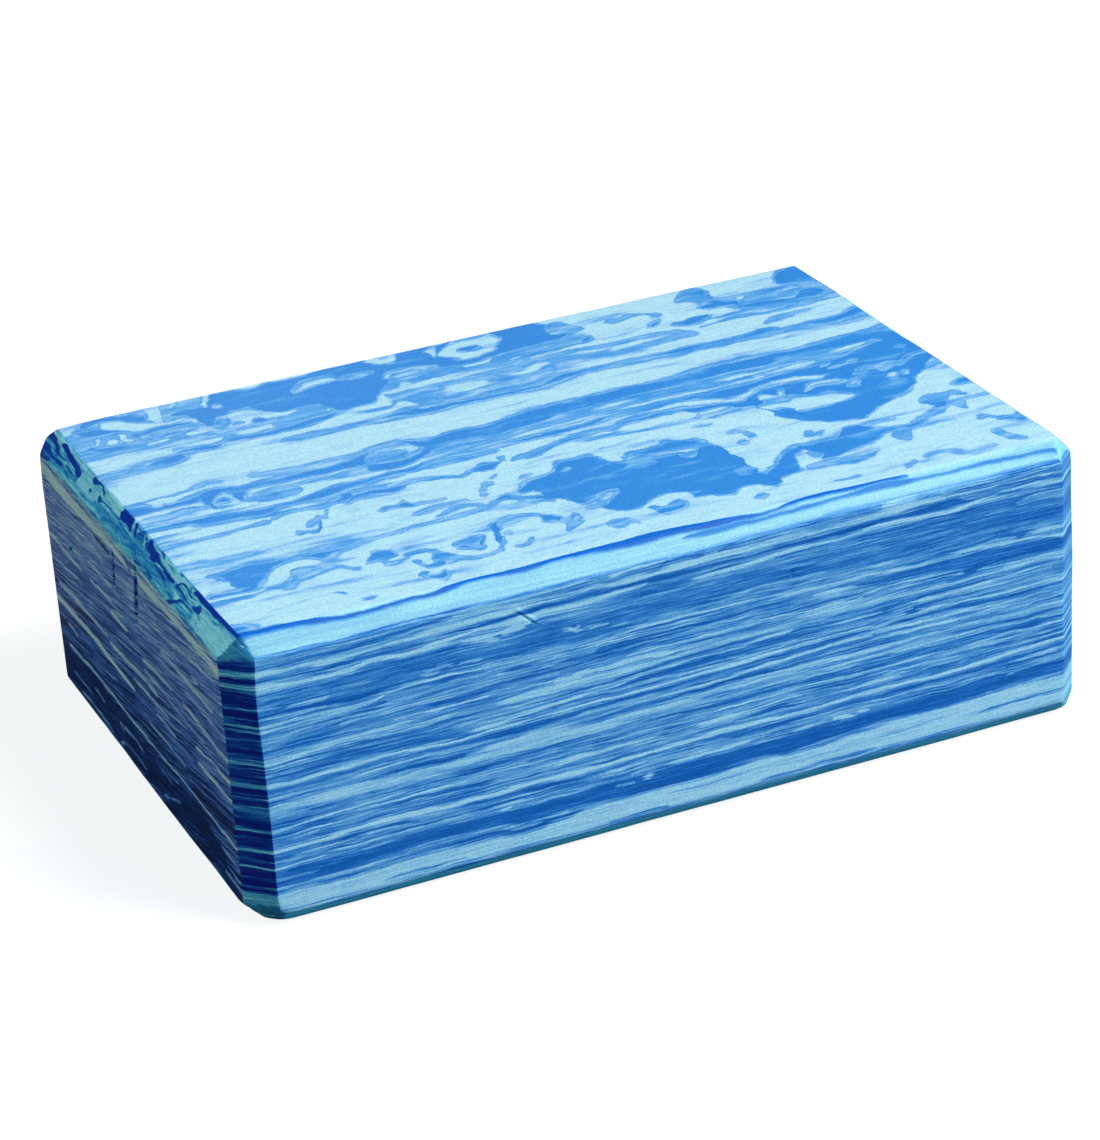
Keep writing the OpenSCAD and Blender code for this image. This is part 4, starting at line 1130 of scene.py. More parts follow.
# %% Deep streaks of the long side
SIDE_DEEP = (0.62, 400, [
    (0.95, (-116, 68.6, 69.8), (-100, 68.7, 69.5), (-85, 68.4, 69.4), (-75, 68.6, 69.7),
     (-66, 69, 70.1), (-58, 69.7, 70.3)),
    (0.62, (-116, 70.9, 71.8), (-80, 70.9, 71.6), (-60, 70.8, 71.4), (-45, 71.5, 72),
     (-30, 71.6, 72.2), (-20, 72.1, 72.7)),
    (0.95, (-13.4, 70.3, 70.9), (-10, 70.3, 71.3), (-7.6, 70.1, 70.6)),
    (0.96, (-6.6, 69.4, 69.9), (-4, 69.2, 70.2), (-1, 70.4, 71.3), (2, 70.6, 71.4), (5, 70.2, 71),
     (8, 69.9, 70.5)),
    (0.96, (12.4, 70.1, 70.9), (16, 70.3, 71.4), (22, 70.2, 71.3), (28, 70.7, 71.6),
     (35, 70.5, 71.4), (45, 70.6, 71.4), (54, 71, 71.4)),
    (0.8, (66, 70.4, 70.9), (68, 70.3, 71.6), (70, 70.7, 71.8), (72, 70.7, 71.2)),
    (0.86, (74, 70.5, 71), (84, 70.2, 70.9), (95, 69.9, 70.7), (108, 69, 69.9), (116, 68.6, 69.4)),
    (0.86, (74, 68.3, 69), (82, 68.2, 68.9), (92, 67.9, 68.7), (108, 67, 68), (116, 66.6, 67.6)),
    (0.96, (-116, 65.2, 66.3), (-100, 65, 65.9), (-90, 64.3, 65.3), (-85, 64.8, 65.7),
     (-80, 65.5, 66.4), (-70, 65.5, 66.3), (-60, 65.7, 66.5), (-52, 65.4, 66.3), (-44, 66, 67),
     (-36, 66.8, 67.6), (-28, 66.9, 67.7), (-20, 66.8, 68), (-12, 66.2, 67.6), (-6, 65.9, 67.8),
     (0, 65.8, 67.6), (10, 66, 67.4), (20, 65.9, 67.4), (35, 66.3, 67.7), (45, 66.2, 67.6),
     (55, 66.6, 68), (65, 66.3, 68.2), (75, 66.2, 68.4), (85, 66.3, 67.4), (96, 65.4, 66.2),
     (116, 64.4, 65.4)),
    (0.95, (-116, 56.4, 57.4), (-100, 56.3, 57.3), (-90, 55.4, 57.1), (-83, 54.8, 56.6),
     (-76, 55.8, 56.8), (-66, 56.4, 57)),
    (0.92, (-62, 56.4, 57.2), (-45, 56.5, 57.3), (-30, 56.3, 57.2), (-20, 56, 56.9),
     (-11, 56.3, 56.9)),
    (0.86, (-112, 51.4, 52), (-98, 51.4, 52.1), (-88, 51.5, 51.9)),
    (0.84, (-72, 51.4, 51.8), (-60, 51.5, 52.1), (-46, 51.6, 52)),
    (0.86, (-23, 51.6, 52.3), (-16, 50.4, 53), (-10, 51.4, 52.7), (0, 51.5, 52.5), (15, 51.5, 52.8),
     (30, 51.8, 53.3), (38, 52.6, 53.2), (54, 50.6, 52.6), (70, 49.6, 52.6), (90, 47.6, 52),
     (116, 47.4, 50)),
    (0.92, (-3, 47.3, 47.9), (8, 47.1, 48), (18, 47.1, 47.9), (24, 47.4, 47.9)),
    (0.9, (22, 49.3, 49.8), (30, 49.1, 50.1), (40, 48.9, 49.7), (48, 49.2, 50)),
    (0.97, (79, 47.8, 48.6), (81, 46.8, 49.4), (83.4, 47.2, 49.8), (85, 48, 48.8)),
    (0.92, (-18, 42.9, 43.4), (-8, 43.5, 44), (0, 43.8, 44.5), (15, 44.2, 44.8), (30, 44.6, 45.2),
     (50, 44.1, 45), (65, 43.8, 44.9), (80, 43.8, 44.8), (95, 44.2, 44.9), (116, 43.9, 44.4)),
    (0.84, (-112, 49, 49.9), (-100, 49, 49.8), (-88, 49, 49.6), (-76, 48.2, 48.8), (-60, 48, 48.6)),
    (0.84, (-112, 46.9, 47.9), (-96, 47, 47.7), (-84, 47, 47.4)),
    (0.8, (-58, 45.4, 46.6), (-53, 45.2, 46.4), (-46, 46.6, 47.4)),
    (0.86, (-18, 40.4, 41), (-10, 40.4, 41.8), (0, 41.2, 42.6), (10, 41, 42.8), (25, 41.5, 43.3),
     (38, 41.8, 43), (48, 41.2, 42.3), (58, 41.6, 42.6)),
    (0.86, (-112, 39.3, 40), (-102, 39.4, 40.2), (-88, 40.8, 41.6), (-78, 39.6, 42),
     (-66, 39, 41.4), (-56, 38.4, 39.2)),
    (0.95, (-43, 39.3, 39.8), (-40, 39, 40.1), (-36.6, 39.4, 40)),
    (0.9, (-116, 36, 37.7), (-100, 36, 37.3), (-88, 36.3, 37.8), (-80, 36.5, 38), (-72, 36.3, 37.6),
     (-60, 35.8, 37.3), (-52, 35.3, 37.5), (-43, 34.8, 37.7), (-37, 35.5, 37.6), (-30, 36.2, 37.7),
     (-20, 36.6, 37.8), (-10, 36.3, 37.7), (0, 36.7, 38), (12, 36.8, 38.3), (22, 37.2, 38.7),
     (34, 37.5, 38.9), (45, 38, 39), (55, 38, 38.7), (62, 38.2, 39.2), (75, 38.2, 39.2),
     (90, 37.2, 38.9), (105, 37.2, 38.5), (116, 37, 38.2)),
    (0.95, (60, 39.4, 40), (61.4, 38.4, 41.2), (63.6, 38.8, 41.6), (65, 40, 40.8)),
    (0.88, (-28, 33.5, 34.1), (-10, 33.8, 34.5), (0, 34, 34.8), (10, 34.3, 35), (20, 34.7, 35.5),
     (32, 35, 36.1), (40, 35.3, 36.5), (54, 36, 36.9)),
    (0.86, (-116, 33.3, 34.4), (-100, 33.4, 34.2), (-88, 33.5, 34.4), (-75, 33.2, 34.6),
     (-62, 33.3, 34.6), (-55, 33.9, 34.4)),
    (0.93, (6, 31.8, 32.2), (20, 31.2, 31.9), (30, 31.4, 32), (40, 31.6, 32.3), (52, 31.6, 32.4),
     (62, 31.7, 32.5), (70, 31.6, 32.4), (78, 31.3, 32.6), (86, 30.9, 32.3), (95, 30.7, 32),
     (105, 30.7, 32), (116, 30.6, 32)),
    (0.82, (-116, 28, 29.2), (-100, 28.2, 29.1), (-90, 28, 28.8), (-76, 28.2, 28.7),
     (-71, 27.2, 28.2), (-66, 27.2, 28.1), (-62, 27.8, 28.2)),
    (0.88, (-34, 27.7, 28.4), (-25, 27.6, 28.7), (-10, 27.8, 28.7), (0, 27.9, 28.6),
     (5, 28.1, 29.3), (20, 28.3, 29.4), (35, 28.6, 29.7), (50, 28.7, 29.8), (65, 28.7, 29.8),
     (80, 28.4, 29.6), (95, 28.2, 29.3), (116, 28.3, 29.3)),
    (0.8, (-50, 28.8, 29.5), (-38, 29.1, 29.9), (-28, 29.6, 30.2), (-10, 29.6, 30)),
    (0.8, (-95, 22, 23.6), (-80, 22.6, 24), (-66, 22.4, 23.6), (-50, 21.8, 22.8), (-36, 22, 22.8),
     (-20, 22, 22.9), (-6, 21.6, 22.6), (8, 22.4, 23.8), (22, 22, 23), (36, 22, 22.8),
     (55, 22.4, 23.4), (75, 22.2, 23.8), (95, 22.8, 23.6)),
    (0.88, (-116, 19.2, 20.1), (-106, 18.6, 20), (-98, 19.5, 20.3), (-88, 19.2, 20.2),
     (-84, 19.6, 20.5), (-78, 19.6, 20.4), (-74.4, 18.9, 20.3), (-71.4, 18.5, 19.4)),
    (0.88, (-56, 19.4, 20), (-50, 18.8, 19.9), (-42, 18.9, 20.5), (-34, 18.2, 20.1),
     (-28, 18.4, 19.9), (-20, 19.3, 20.3), (-5, 19.4, 20.3), (5, 19.2, 20.6), (12, 18.6, 20.6),
     (22, 18.9, 20.5), (35, 19.4, 20.6), (50, 19.2, 20.9), (62, 18.8, 20.7), (75, 19, 20.6),
     (90, 19.3, 20.9), (105, 20, 21.6), (116, 20.6, 22)),
    (0.93, (-112, 9.6, 10.3), (-100, 9.8, 10.4), (-92, 9, 10.2), (-80, 9.4, 10.6), (-70, 9.8, 11.2),
     (-60, 9.6, 11.2), (-50, 9.1, 10.8), (-45, 8.2, 9.8), (-40, 8, 9.6), (-34, 9, 10.6),
     (-28, 9.8, 10.8)),
])
print("deep streaks:", len(SIDE_DEEP[2]), "in", len(pack_rows(SIDE_DEEP[2], 400)), "rows")

# %% Pale streaks of the long side
SIDE_PALE = (0.46, 400, [
    (0.22, (-60, 70, 70.5), (-50, 69.9, 70.7), (-40, 70.3, 70.9), (-30, 70.7, 71.3),
     (-22, 70.9, 71.4)),
    (0.16, (-17, 69.9, 70.6), (-13.6, 70.3, 71.1), (-8, 70.7, 71.6), (-4, 70.8, 71.4)),
    (0.18, (56, 70.6, 71.6), (62, 70.6, 72.4), (70, 71.8, 72.4), (80, 71.3, 72), (92, 71, 71.5)),
    (0.18, (76, 69.3, 69.9), (86, 69.2, 69.8), (95, 69, 69.5), (104, 68.5, 69)),
    (0.24, (80, 67.5, 68), (90, 67.2, 67.8), (104, 66.4, 66.9)),
    (0.1, (-116, 63.7, 65), (-104, 63.3, 64.9), (-98, 62.8, 63.9), (-90, 62.4, 63.3),
     (-85, 62.5, 63.6), (-78, 63.4, 64.7), (-70, 63.1, 64.3), (-62, 63.4, 64.8), (-55, 64.2, 65.4),
     (-46, 64.4, 65.9), (-40, 64.1, 66.4), (-36, 64.3, 65.9), (-30, 64.5, 66.1), (-22, 64.7, 66.3),
     (-14, 65.1, 66.6), (-9, 65.7, 66.7), (-6, 66, 66.5)),
    (0.18, (-54.4, 62.7, 63.3), (-51.4, 62.2, 63.9), (-49, 61.2, 64.1), (-47, 61.3, 63.9),
     (-45.4, 62.8, 64.4), (-43, 62.1, 64.9), (-41, 62.4, 64.9), (-38.4, 62.7, 63.6)),
    (0.05, (3.6, 64.2, 64.8), (8, 64, 65.2), (14, 64, 65.2), (22, 64.4, 65.7), (28, 64.9, 66.1),
     (33, 65.1, 66.1), (37, 65.3, 66), (42, 65, 65.7), (48, 65.3, 66.1), (55, 65.8, 66.9),
     (60, 65.7, 67), (66, 65.1, 66.4), (72, 65, 66.1), (78, 65.2, 66.3), (84, 66.1, 67),
     (88, 66.3, 66.8)),
    (0.18, (-109, 58.2, 59.5), (-105, 58.1, 59.1), (-101, 58, 58.5)),
    (0.2, (-98.4, 57.5, 58.1), (-94, 57.2, 58), (-89, 57.1, 57.7)),
    (0.22, (-67.4, 56.7, 57.2), (-64, 57.2, 58), (-61, 57.8, 58.6), (-58.6, 57.4, 58.1)),
    (0.28, (-57, 57.2, 57.7), (-52, 57.3, 57.8)),
    (0.16, (-30.4, 59.5, 60.1), (-28.6, 58.9, 60.3), (-27, 57.9, 59.4), (-25, 59.7, 60.2)),
    (0.2, (-24.2, 58.1, 58.7), (-22, 58, 58.9), (-19.8, 57.8, 58.4)),
    (0.22, (-17.4, 57.3, 57.9), (-13, 57.2, 57.7)),
    (0.44, (-36, 62.4, 63.4), (-25, 62.2, 63.4), (-17, 61.6, 62.5), (-8, 61.9, 62.9),
     (3, 62.3, 63.1), (9, 62, 62.6)),
    (0.26, (42, 63.2, 64), (46, 63.2, 64), (50.6, 63.4, 64)),
    (0.34, (94, 62.8, 63.5), (100, 62.4, 64.1), (116, 61.8, 63.4)),
    (0.16, (-116, 53.7, 54.9), (-100, 53.7, 54.7), (-90, 53.2, 54.2), (-84, 53.1, 53.9),
     (-78, 53.6, 54.6), (-74, 54.6, 55.5), (-68, 55, 55.9), (-60, 54.9, 55.8), (-50, 54.4, 55.3),
     (-40, 54.2, 55.1), (-34, 54.5, 55.2), (-20, 53.7, 54.8), (-14, 54.4, 55.4), (-6, 55, 56.1),
     (0, 54.9, 55.9), (8, 54.8, 55.7), (15, 54.8, 55.7), (20, 55, 55.4)),
    (0.14, (36, 53.6, 54.1), (48, 53.4, 54.1), (56, 53.2, 54.1), (60, 52.8, 53.9), (65, 52.6, 53.4),
     (72, 53, 53.5), (78, 53.1, 53.8), (85, 52.6, 53.6), (92, 52.2, 53.3), (97, 52.3, 53),
     (101, 51.8, 52.7), (105, 51.1, 52.3), (110, 50.5, 51.7), (116, 50.1, 51.3)),
    (0.14, (96.4, 54, 54.6), (101, 53.8, 54.8), (109, 52.9, 54), (116, 52.5, 53.6)),
    (0.97, (92.6, 53.6, 54), (95, 53.3, 54.4), (98.4, 53.4, 53.9)),
    (0.26, (-112, 50.3, 51), (-105, 50.3, 51.2), (-96, 50.4, 50.9)),
    (0.22, (-76, 52.3, 52.9), (-70, 52.2, 53.3), (-60, 52.3, 53), (-52, 52.2, 53),
     (-45.6, 52.4, 53)),
    (0.24, (-88, 49.4, 50.1), (-83, 49.5, 50.1)),
    (0.2, (-38.6, 52.1, 52.8), (-33, 52.1, 53.1), (-27.6, 52.1, 52.6)),
    (0.06, (36.4, 51.8, 52.3), (41, 51.3, 52.5), (45, 51.1, 52.3), (49, 51.3, 52)),
    (0.12, (-14, 48.3, 48.8), (-8, 48.2, 49.1), (0, 48.2, 49.1), (10, 48.2, 49.1), (20, 48.2, 48.9),
     (24, 48.6, 49.3), (30, 48.3, 49.1), (36, 47.8, 48.6), (43, 47.9, 48.9), (48, 47.8, 48.4),
     (53, 48.5, 49.4), (57.4, 49.1, 49.8), (65, 48.8, 49.5), (73, 48.7, 49.2)),
    (0.1, (-33, 46.4, 47), (-29.6, 46.2, 47.4), (-27, 45.6, 46.8), (-24, 46.8, 48),
     (-20.6, 46.4, 47.4), (-15, 46.4, 47.8), (-9, 46.7, 47.8), (-5, 46.1, 47.5), (-0.6, 46.2, 47)),
    (0.12, (-56, 39, 39.6), (-50, 39, 40.1), (-45, 39.5, 40.4), (-40, 39.8, 40.9),
     (-33, 40.2, 41.3), (-25, 40.8, 41.7), (-18, 41.2, 42.1), (-10, 42.2, 43), (-3, 42.7, 43.5),
     (5, 43, 43.8), (13, 43, 43.7), (22, 43.5, 44.3), (31, 43.8, 44.4)),
    (0.18, (43, 42.5, 43.3), (50, 42.6, 43.5), (57, 42.8, 43.3)),
    (0.18, (64, 43.1, 43.7), (75, 42.9, 43.7), (85, 43.1, 43.9), (95, 43.1, 43.8),
     (105, 42.9, 43.4)),
    (0.24, (13.4, 40.6, 41.3), (17.4, 40.5, 41.3)),
    (0.3, (57.4, 41, 42), (62.4, 41.1, 42.1)),
    (0.1, (-116, 37.8, 38.9), (-104, 37.7, 38.8), (-98, 37.4, 38.2), (-90, 37.7, 38.7),
     (-84, 38.1, 39.1), (-76, 38.1, 39.1), (-70, 37.6, 38.6), (-62, 37.4, 38.4), (-55, 37.2, 38),
     (-50, 37.5, 38.4), (-43, 37.8, 38.6), (-36, 38, 38.7), (-30, 37.8, 38.6), (-20, 37.8, 39),
     (-13, 37.7, 38.7), (-5, 38.1, 38.9), (3, 38.2, 39), (12, 38.6, 39.4), (22, 38.9, 39.7),
     (32, 39.2, 39.9), (42, 39.1, 39.9), (50, 39.2, 40.1), (54, 38.8, 39.4), (60, 39.2, 40),
     (66, 39.2, 40.1), (72, 39.5, 40.4), (80, 39.1, 40.1), (90, 38.9, 39.8), (100, 38.9, 39.8),
     (116, 38.4, 39.4)),
    (0.14, (-42, 34.1, 34.6), (-25, 34.3, 35), (-15, 34.5, 35.4), (-8, 34.9, 35.7), (0, 34.9, 35.7),
     (10, 35, 35.9), (18, 35.5, 36.4), (25, 36, 36.9), (30, 36.2, 37.1), (38, 36.8, 37.6),
     (44, 36.9, 37.7), (50, 36.7, 37.3), (54, 37.7, 38.4), (60, 37.1, 38.1), (66, 36.7, 37.9),
     (74, 36.9, 37.9), (82, 36.5, 37.4), (89, 36.2, 36.9)),
    (0.26, (-106, 34.7, 35.3), (-95, 34.7, 35.5), (-84, 34.9, 35.4)),
    (0.16, (-116, 25.9, 26.8), (-104, 26, 26.9), (-96, 26.5, 27.4), (-88, 26.8, 27.7),
     (-75, 26.9, 27.5), (-60, 26.9, 27.6), (-52, 27.2, 28), (-46, 27.1, 28), (-41, 27, 27.6)),
    (0.14, (-19, 26.7, 27.4), (-10, 26.7, 27.6), (-3, 26.7, 27.6), (0, 26.5, 27.3), (2, 26.1, 26.8),
     (4, 26.3, 27), (8, 26.9, 27.8), (13, 27.3, 28.2), (18, 27.2, 28), (22, 27, 27.8),
     (28, 26.9, 27.8), (35, 27.2, 28.1), (42, 26.9, 27.9), (52, 26.8, 27.8), (65, 26.8, 27.8),
     (75, 26.7, 27.5), (84, 26.9, 27.9), (91, 27.4, 28.3), (96, 26.8, 27.6), (103, 26.9, 27.9),
     (116, 27.2, 28.1)),
    (0.2, (-33, 24.6, 25.4), (-25, 24.1, 25.3), (-18, 24.1, 25.1), (-7, 24.5, 25.1)),
    (0.22, (4, 24.5, 25.5), (15, 23.9, 25.1), (23, 24.2, 24.8)),
    (0.2, (55, 24.6, 25.2), (62, 24.9, 25.9), (70, 24.9, 25.8), (77, 24.5, 25.1)),
    (0.26, (76.6, 23.2, 23.8), (78, 23, 24), (79, 23.3, 23.8)),
    (0.02, (-116, 20.1, 21.6), (-104, 20.2, 21.3), (-97, 20.4, 21.1), (-92, 20.7, 21.9),
     (-85, 20.8, 22.1), (-78, 20.6, 22.3), (-71, 20.4, 22.1), (-66, 20.1, 21.9), (-63, 19.9, 21.1),
     (-57, 20.3, 21.5), (-50, 19.9, 21.1), (-45, 20.1, 21.7), (-40, 20.5, 21.7), (-36, 20.2, 21.4),
     (-28, 20.1, 21.6), (-20, 20.3, 21.4), (-12, 20.3, 21.3), (-6, 20.3, 21.3), (2, 20.6, 21.7),
     (10, 20.9, 22.1), (18, 20.6, 21.8), (26, 20.4, 21.5), (35, 20.6, 21.8), (42, 20.7, 21.9),
     (50, 21, 22.1), (56, 21.1, 22.1), (62, 20.8, 21.8), (70, 20.6, 21.6), (80, 20.7, 21.9),
     (90, 20.9, 22.1), (98, 21.4, 22.6), (105, 21.9, 22.9), (116, 22.3, 23.1)),
    (0.24, (-103, 18.1, 18.8), (-96, 18.3, 19.3), (-90, 18.5, 19.4), (-85, 18.3, 18.9),
     (-80, 18.7, 19.7), (-76.4, 18.5, 19.2)),
    (0.3, (64, 18, 18.5), (72, 17.8, 18.7), (80, 17.9, 18.7), (90, 18.3, 18.7)),
    (0.3, (4, 19.4, 19.9), (8, 19, 19.6), (12, 18.4, 18.9)),
    (0.08, (-116, 15.9, 16.5), (-106, 15.9, 16.7), (-100, 16.1, 16.9), (-95, 16.5, 17)),
    (0.18, (-51, 16.9, 17.4), (-46, 16.7, 17.6), (-41, 17, 17.4)),
    (0.24, (-85.4, 15.4, 16), (-81, 15.1, 16.1), (-77.6, 15.4, 15.8)),
    (0.18, (-49.2, 15.6, 16.3), (-47.4, 15.3, 16.6), (-45.6, 15.5, 16)),
    (0.2, (-14.4, 15.7, 16.4), (-10, 15.8, 16.8), (-6.6, 16.2, 16.8)),
    (0.24, (-18.6, 13.8, 14.4), (-14.4, 13.6, 14.2)),
    (0.16, (-11.6, 14.2, 14.8), (-10.2, 13.7, 15.1), (-8.8, 14, 14.6)),
    (0.05, (-3.4, 16.2, 16.9), (0, 15.8, 17.1), (4, 15.7, 17.2), (9, 15.9, 16.9), (14, 15.9, 16.9),
     (18.6, 16.1, 17)),
    (0.2, (29.6, 15.9, 16.5), (34, 16.1, 17.1), (39, 16.4, 17.3)),
    (0.06, (41.6, 16, 17.2), (44, 15.7, 17.1), (46.6, 15.9, 16.8)),
    (0.16, (48.6, 16.2, 17.1), (51.6, 16.4, 17.4)),
    (0.2, (91, 15.9, 16.6), (93, 16.1, 17.1), (98, 16.4, 17.2), (104, 16.9, 17.8),
     (110, 17.6, 18.6), (116, 18, 19)),
    (0.3, (-112, 14.5, 15.1), (-103, 14.7, 15.2)),
    (0.26, (-109, 13.2, 13.8), (-103, 12.7, 13.4), (-97, 12.5, 13)),
    (0.26, (-116, 10.5, 11.1), (-100, 10.5, 11.1), (-90, 10.4, 11.1), (-82, 10.9, 11.6),
     (-75, 11.4, 12.1), (-66, 11.6, 12.5), (-58, 11.4, 12.3), (-50, 11, 11.9), (-46, 10, 10.8),
     (-42, 9.6, 10.4), (-38, 10, 10.9), (-32, 10.8, 11.5)),
    (0.52, (-80, 5.4, 6), (-72, 5.3, 6.3), (-65, 5.4, 6.1), (-58, 5.6, 6.1)),
    (0.7, (-21, 4.3, 4.9), (-16, 4, 5.1), (-10, 4.4, 5.3), (-5.6, 4.8, 5.2)),
    (0.62, (20, 4.6, 5.1), (30, 4.5, 5.4), (38, 4.8, 5.7), (45, 4.7, 5.7), (53, 4.9, 5.3)),
    (0.32, (-6, 7.8, 8.4), (8, 7.8, 8.5), (20, 7.7, 8.5), (40, 7.4, 8.4), (55, 7.7, 8.7),
     (72, 8.4, 9.3)),
    (0.38, (84, 6.9, 8), (95, 7.1, 8.3), (116, 7.2, 8.3)),
])
print("pale streaks:", len(SIDE_PALE[2]), "in", len(pack_rows(SIDE_PALE[2], 400)), "rows")

# %% [markdown]
# ## The streaks of the short end
#
# The saw meets the layers of the short end at another angle, so its streaks are thinner and
# shorter. A station here is (y, lower z, upper z).

# %% Streaks of the short end
END_BANDS = (0.42, 400, [
    (0.97, (-80, 4, 7), (-70, 5, 8), (-60, 5, 13), (-48, 8, 17), (-40, 11, 19), (-30, 10, 19),
     (-22, 7.6, 16), (-12, 7, 15), (0, 7, 15.6), (8, 6, 17), (20, 6.4, 17.6), (34, 7, 18),
     (48, 5, 17.4), (60, 4, 17), (80, 4, 16.4)),
    (0.12, (-80, 66, 68.6), (-70, 66.2, 68.4), (-56, 66.6, 68.8), (-44, 66.8, 68.8),
     (-34, 67, 68.6), (-24, 66.6, 68.6), (-16, 66.2, 68.4), (-10, 66.8, 68.2), (-6, 67.4, 67.8)),
    (0.1, (-3, 66.8, 67.4), (4, 66.8, 68.4), (14, 66.8, 68.6), (22, 66.6, 68.4), (32, 65.8, 68.4),
     (44, 65.4, 68.6), (56, 65, 68.8), (68, 65.4, 69.2), (80, 65.6, 69.6)),
    (0.3, (-80, 70.2, 71.4), (-60, 70.4, 71.8), (-30, 69.4, 70.6), (-10, 69.8, 71),
     (14, 69.6, 70.8), (40, 70, 71.2), (80, 70.8, 72)),
])
END_PALE = (0.30, 170, [
    (0.98, (12, 64.6, 65.2), (18, 64.3, 65.6), (25, 64.6, 65.4)),
    (0.3, (-72, 44, 44.7), (-62, 43.6, 44.7), (-52, 44.1, 45.3), (-44, 44.8, 45.6),
     (-38, 45, 45.6)),
    (0.3, (-30, 44.8, 45.5), (-22, 44.6, 45.5), (-14, 43.8, 44.8), (-7, 43.2, 44)),
    (0.42, (-52, 40.6, 41.1), (-38, 40.3, 41.2), (-22, 40.8, 41.6), (-8, 40.6, 41.2)),
    (0.24, (-80, 37.8, 38.8), (-70, 37.7, 38.7), (-60, 37.8, 38.8), (-52, 37, 37.9),
     (-45, 36, 36.6)),
    (0.3, (-16, 37.3, 37.9), (-13, 37.1, 38.5), (-9, 37.6, 38.4)),
    (0.22, (-8, 38, 38.5), (-2, 37.2, 38.1), (6, 36.1, 37.2), (14, 35.7, 36.7), (22, 35.7, 36.4)),
    (0.34, (24, 36.6, 37.1), (40, 36.2, 37.2), (56, 35.2, 36.2), (66, 34.4, 35)),
    (0.28, (-24, 34.8, 35.4), (-14, 34.3, 35.2), (-4, 33.8, 34.8), (3, 33.5, 34.1)),
    (0.24, (-80, 32.4, 33.6), (-68, 32.6, 33.5), (-56, 32.4, 33.4), (-46, 32.2, 32.8)),
    (0.34, (-28, 31.6, 32.2), (-20, 31.3, 32.1), (-14, 31.2, 31.7)),
    (0.1, (4, 29.8, 30.4), (12, 29.8, 30.8), (22, 29.8, 31), (34, 30, 31.4), (46, 29.9, 31.2),
     (58, 29.2, 30.6), (68, 28.7, 30.3), (80, 28.6, 30.2)),
    (0.4, (-34, 26, 26.6), (-20, 25.8, 26.8), (-6, 25.6, 26.4)),
    (0.36, (54, 24, 24.6), (58, 24, 25), (62, 24.2, 24.8)),
    (0.24, (-80, 19.9, 20.9), (-66, 20.1, 21), (-50, 20.3, 21), (-38, 20.3, 21.1), (-26, 20, 20.7),
     (-14, 19.4, 20.2), (0, 19, 19.9), (14, 18.8, 19.7), (28, 18.9, 19.9), (42, 18.6, 19.6),
     (54, 17.8, 18.8), (63, 17.2, 17.9)),
    (0.26, (-62, 53.2, 53.7), (-50, 53.1, 53.9), (-36, 53.2, 53.9), (-24, 53, 53.5)),
    (0.26, (14, 54.8, 55.3), (22, 54, 54.9), (34, 53.6, 54.3)),
    (0.2, (17, 49.8, 50.4), (22, 49.2, 50.1), (28, 48.7, 49.5), (34, 48.5, 49)),
    (0.24, (42, 47.9, 48.4), (52, 47.6, 48.7), (64, 47.5, 48.7), (74, 47.2, 48.2)),
    (0.16, (4, 46.4, 46.9), (10, 46.2, 47.1), (18, 46.3, 46.9)),
    (0.42, (-72, 49.4, 50), (-56, 49.6, 50.4), (-42, 49.8, 50.4)),
    (0.34, (-57, 62, 62.8), (-55, 61.8, 63), (-53, 62.2, 62.8)),
    (0.34, (-52, 56.2, 56.8), (-50, 55.9, 57), (-47.6, 56.3, 56.8)),
    (0.4, (-22, 60.8, 61.4), (-18, 60.9, 61.7), (-14, 61.4, 62)),
    (0.4, (-6, 60.6, 61.2), (-2, 60.2, 61.2), (2, 60.4, 61)),
    (0.4, (-66, 62.4, 63), (-60, 64, 64.8), (-58, 64.2, 64.8)),
    (0.5, (36, 58.4, 59.2), (46, 58.8, 60), (62, 58.6, 60), (74, 58.4, 59.2)),
    (0.5, (24, 61.4, 62.2), (36, 61, 62.2), (52, 61.8, 62.8)),
    (0.5, (-72, 8.2, 8.6), (-66, 8.6, 9.2), (-59, 9, 9.3)),
    (0.46, (-72, 10.6, 11), (-67, 11, 11.6), (-61, 11.4, 11.7)),
    (0.44, (-72, 14.2, 14.7), (-66, 14.6, 15.2), (-58, 15.2, 15.6)),
    (0.46, (-26, 12, 12.4), (-22, 11, 11.8), (-18, 9.4, 10), (-12, 8, 8.4)),
    (0.52, (-20, 15, 15.4), (-16, 15, 15.5), (-12, 14.6, 15)),
    (0.52, (2, 8.4, 8.8), (8, 8.9, 9.5), (18, 8.2, 8.6), (24, 6.4, 6.8)),
    (0.5, (3, 13.1, 13.4), (10, 13.5, 14), (18, 13.2, 13.6)),
    (0.54, (19, 11.4, 12.6), (20.4, 12.6, 13.4), (21.6, 12, 12.6)),
    (0.54, (35, 12.9, 13.3), (39, 13.4, 13.9), (43, 13.6, 14)),
    (0.5, (46, 10.2, 10.6), (54, 10.2, 10.8), (62, 10.2, 10.6)),
    (0.46, (30, 6.6, 7), (42, 7, 7.6), (56, 6.6, 7.1)),
])
print("short end:", len(END_PALE[2]), "in", len(pack_rows(END_PALE[2], 170)), "rows")

# %% [markdown]
# ## The foam's material
#
# The tree has four parts. It finds where a point is, in millimetres, and stirs that place a
# little with noise, so that no edge is perfectly smooth. It lays the lenses of the top and
# those of the sides. It turns the tone into a colour. Last, it adds the fine cells of the
# foam as bump and as a faint grain.

# %% Where a point is
foam.node_tree.nodes.clear()
bench = Bench(foam.node_tree)
object_place = bench.node("ShaderNodeTexCoord").outputs["Object"]
mm_place = bench.vec("SCALE", object_place, None, 1 / MM)


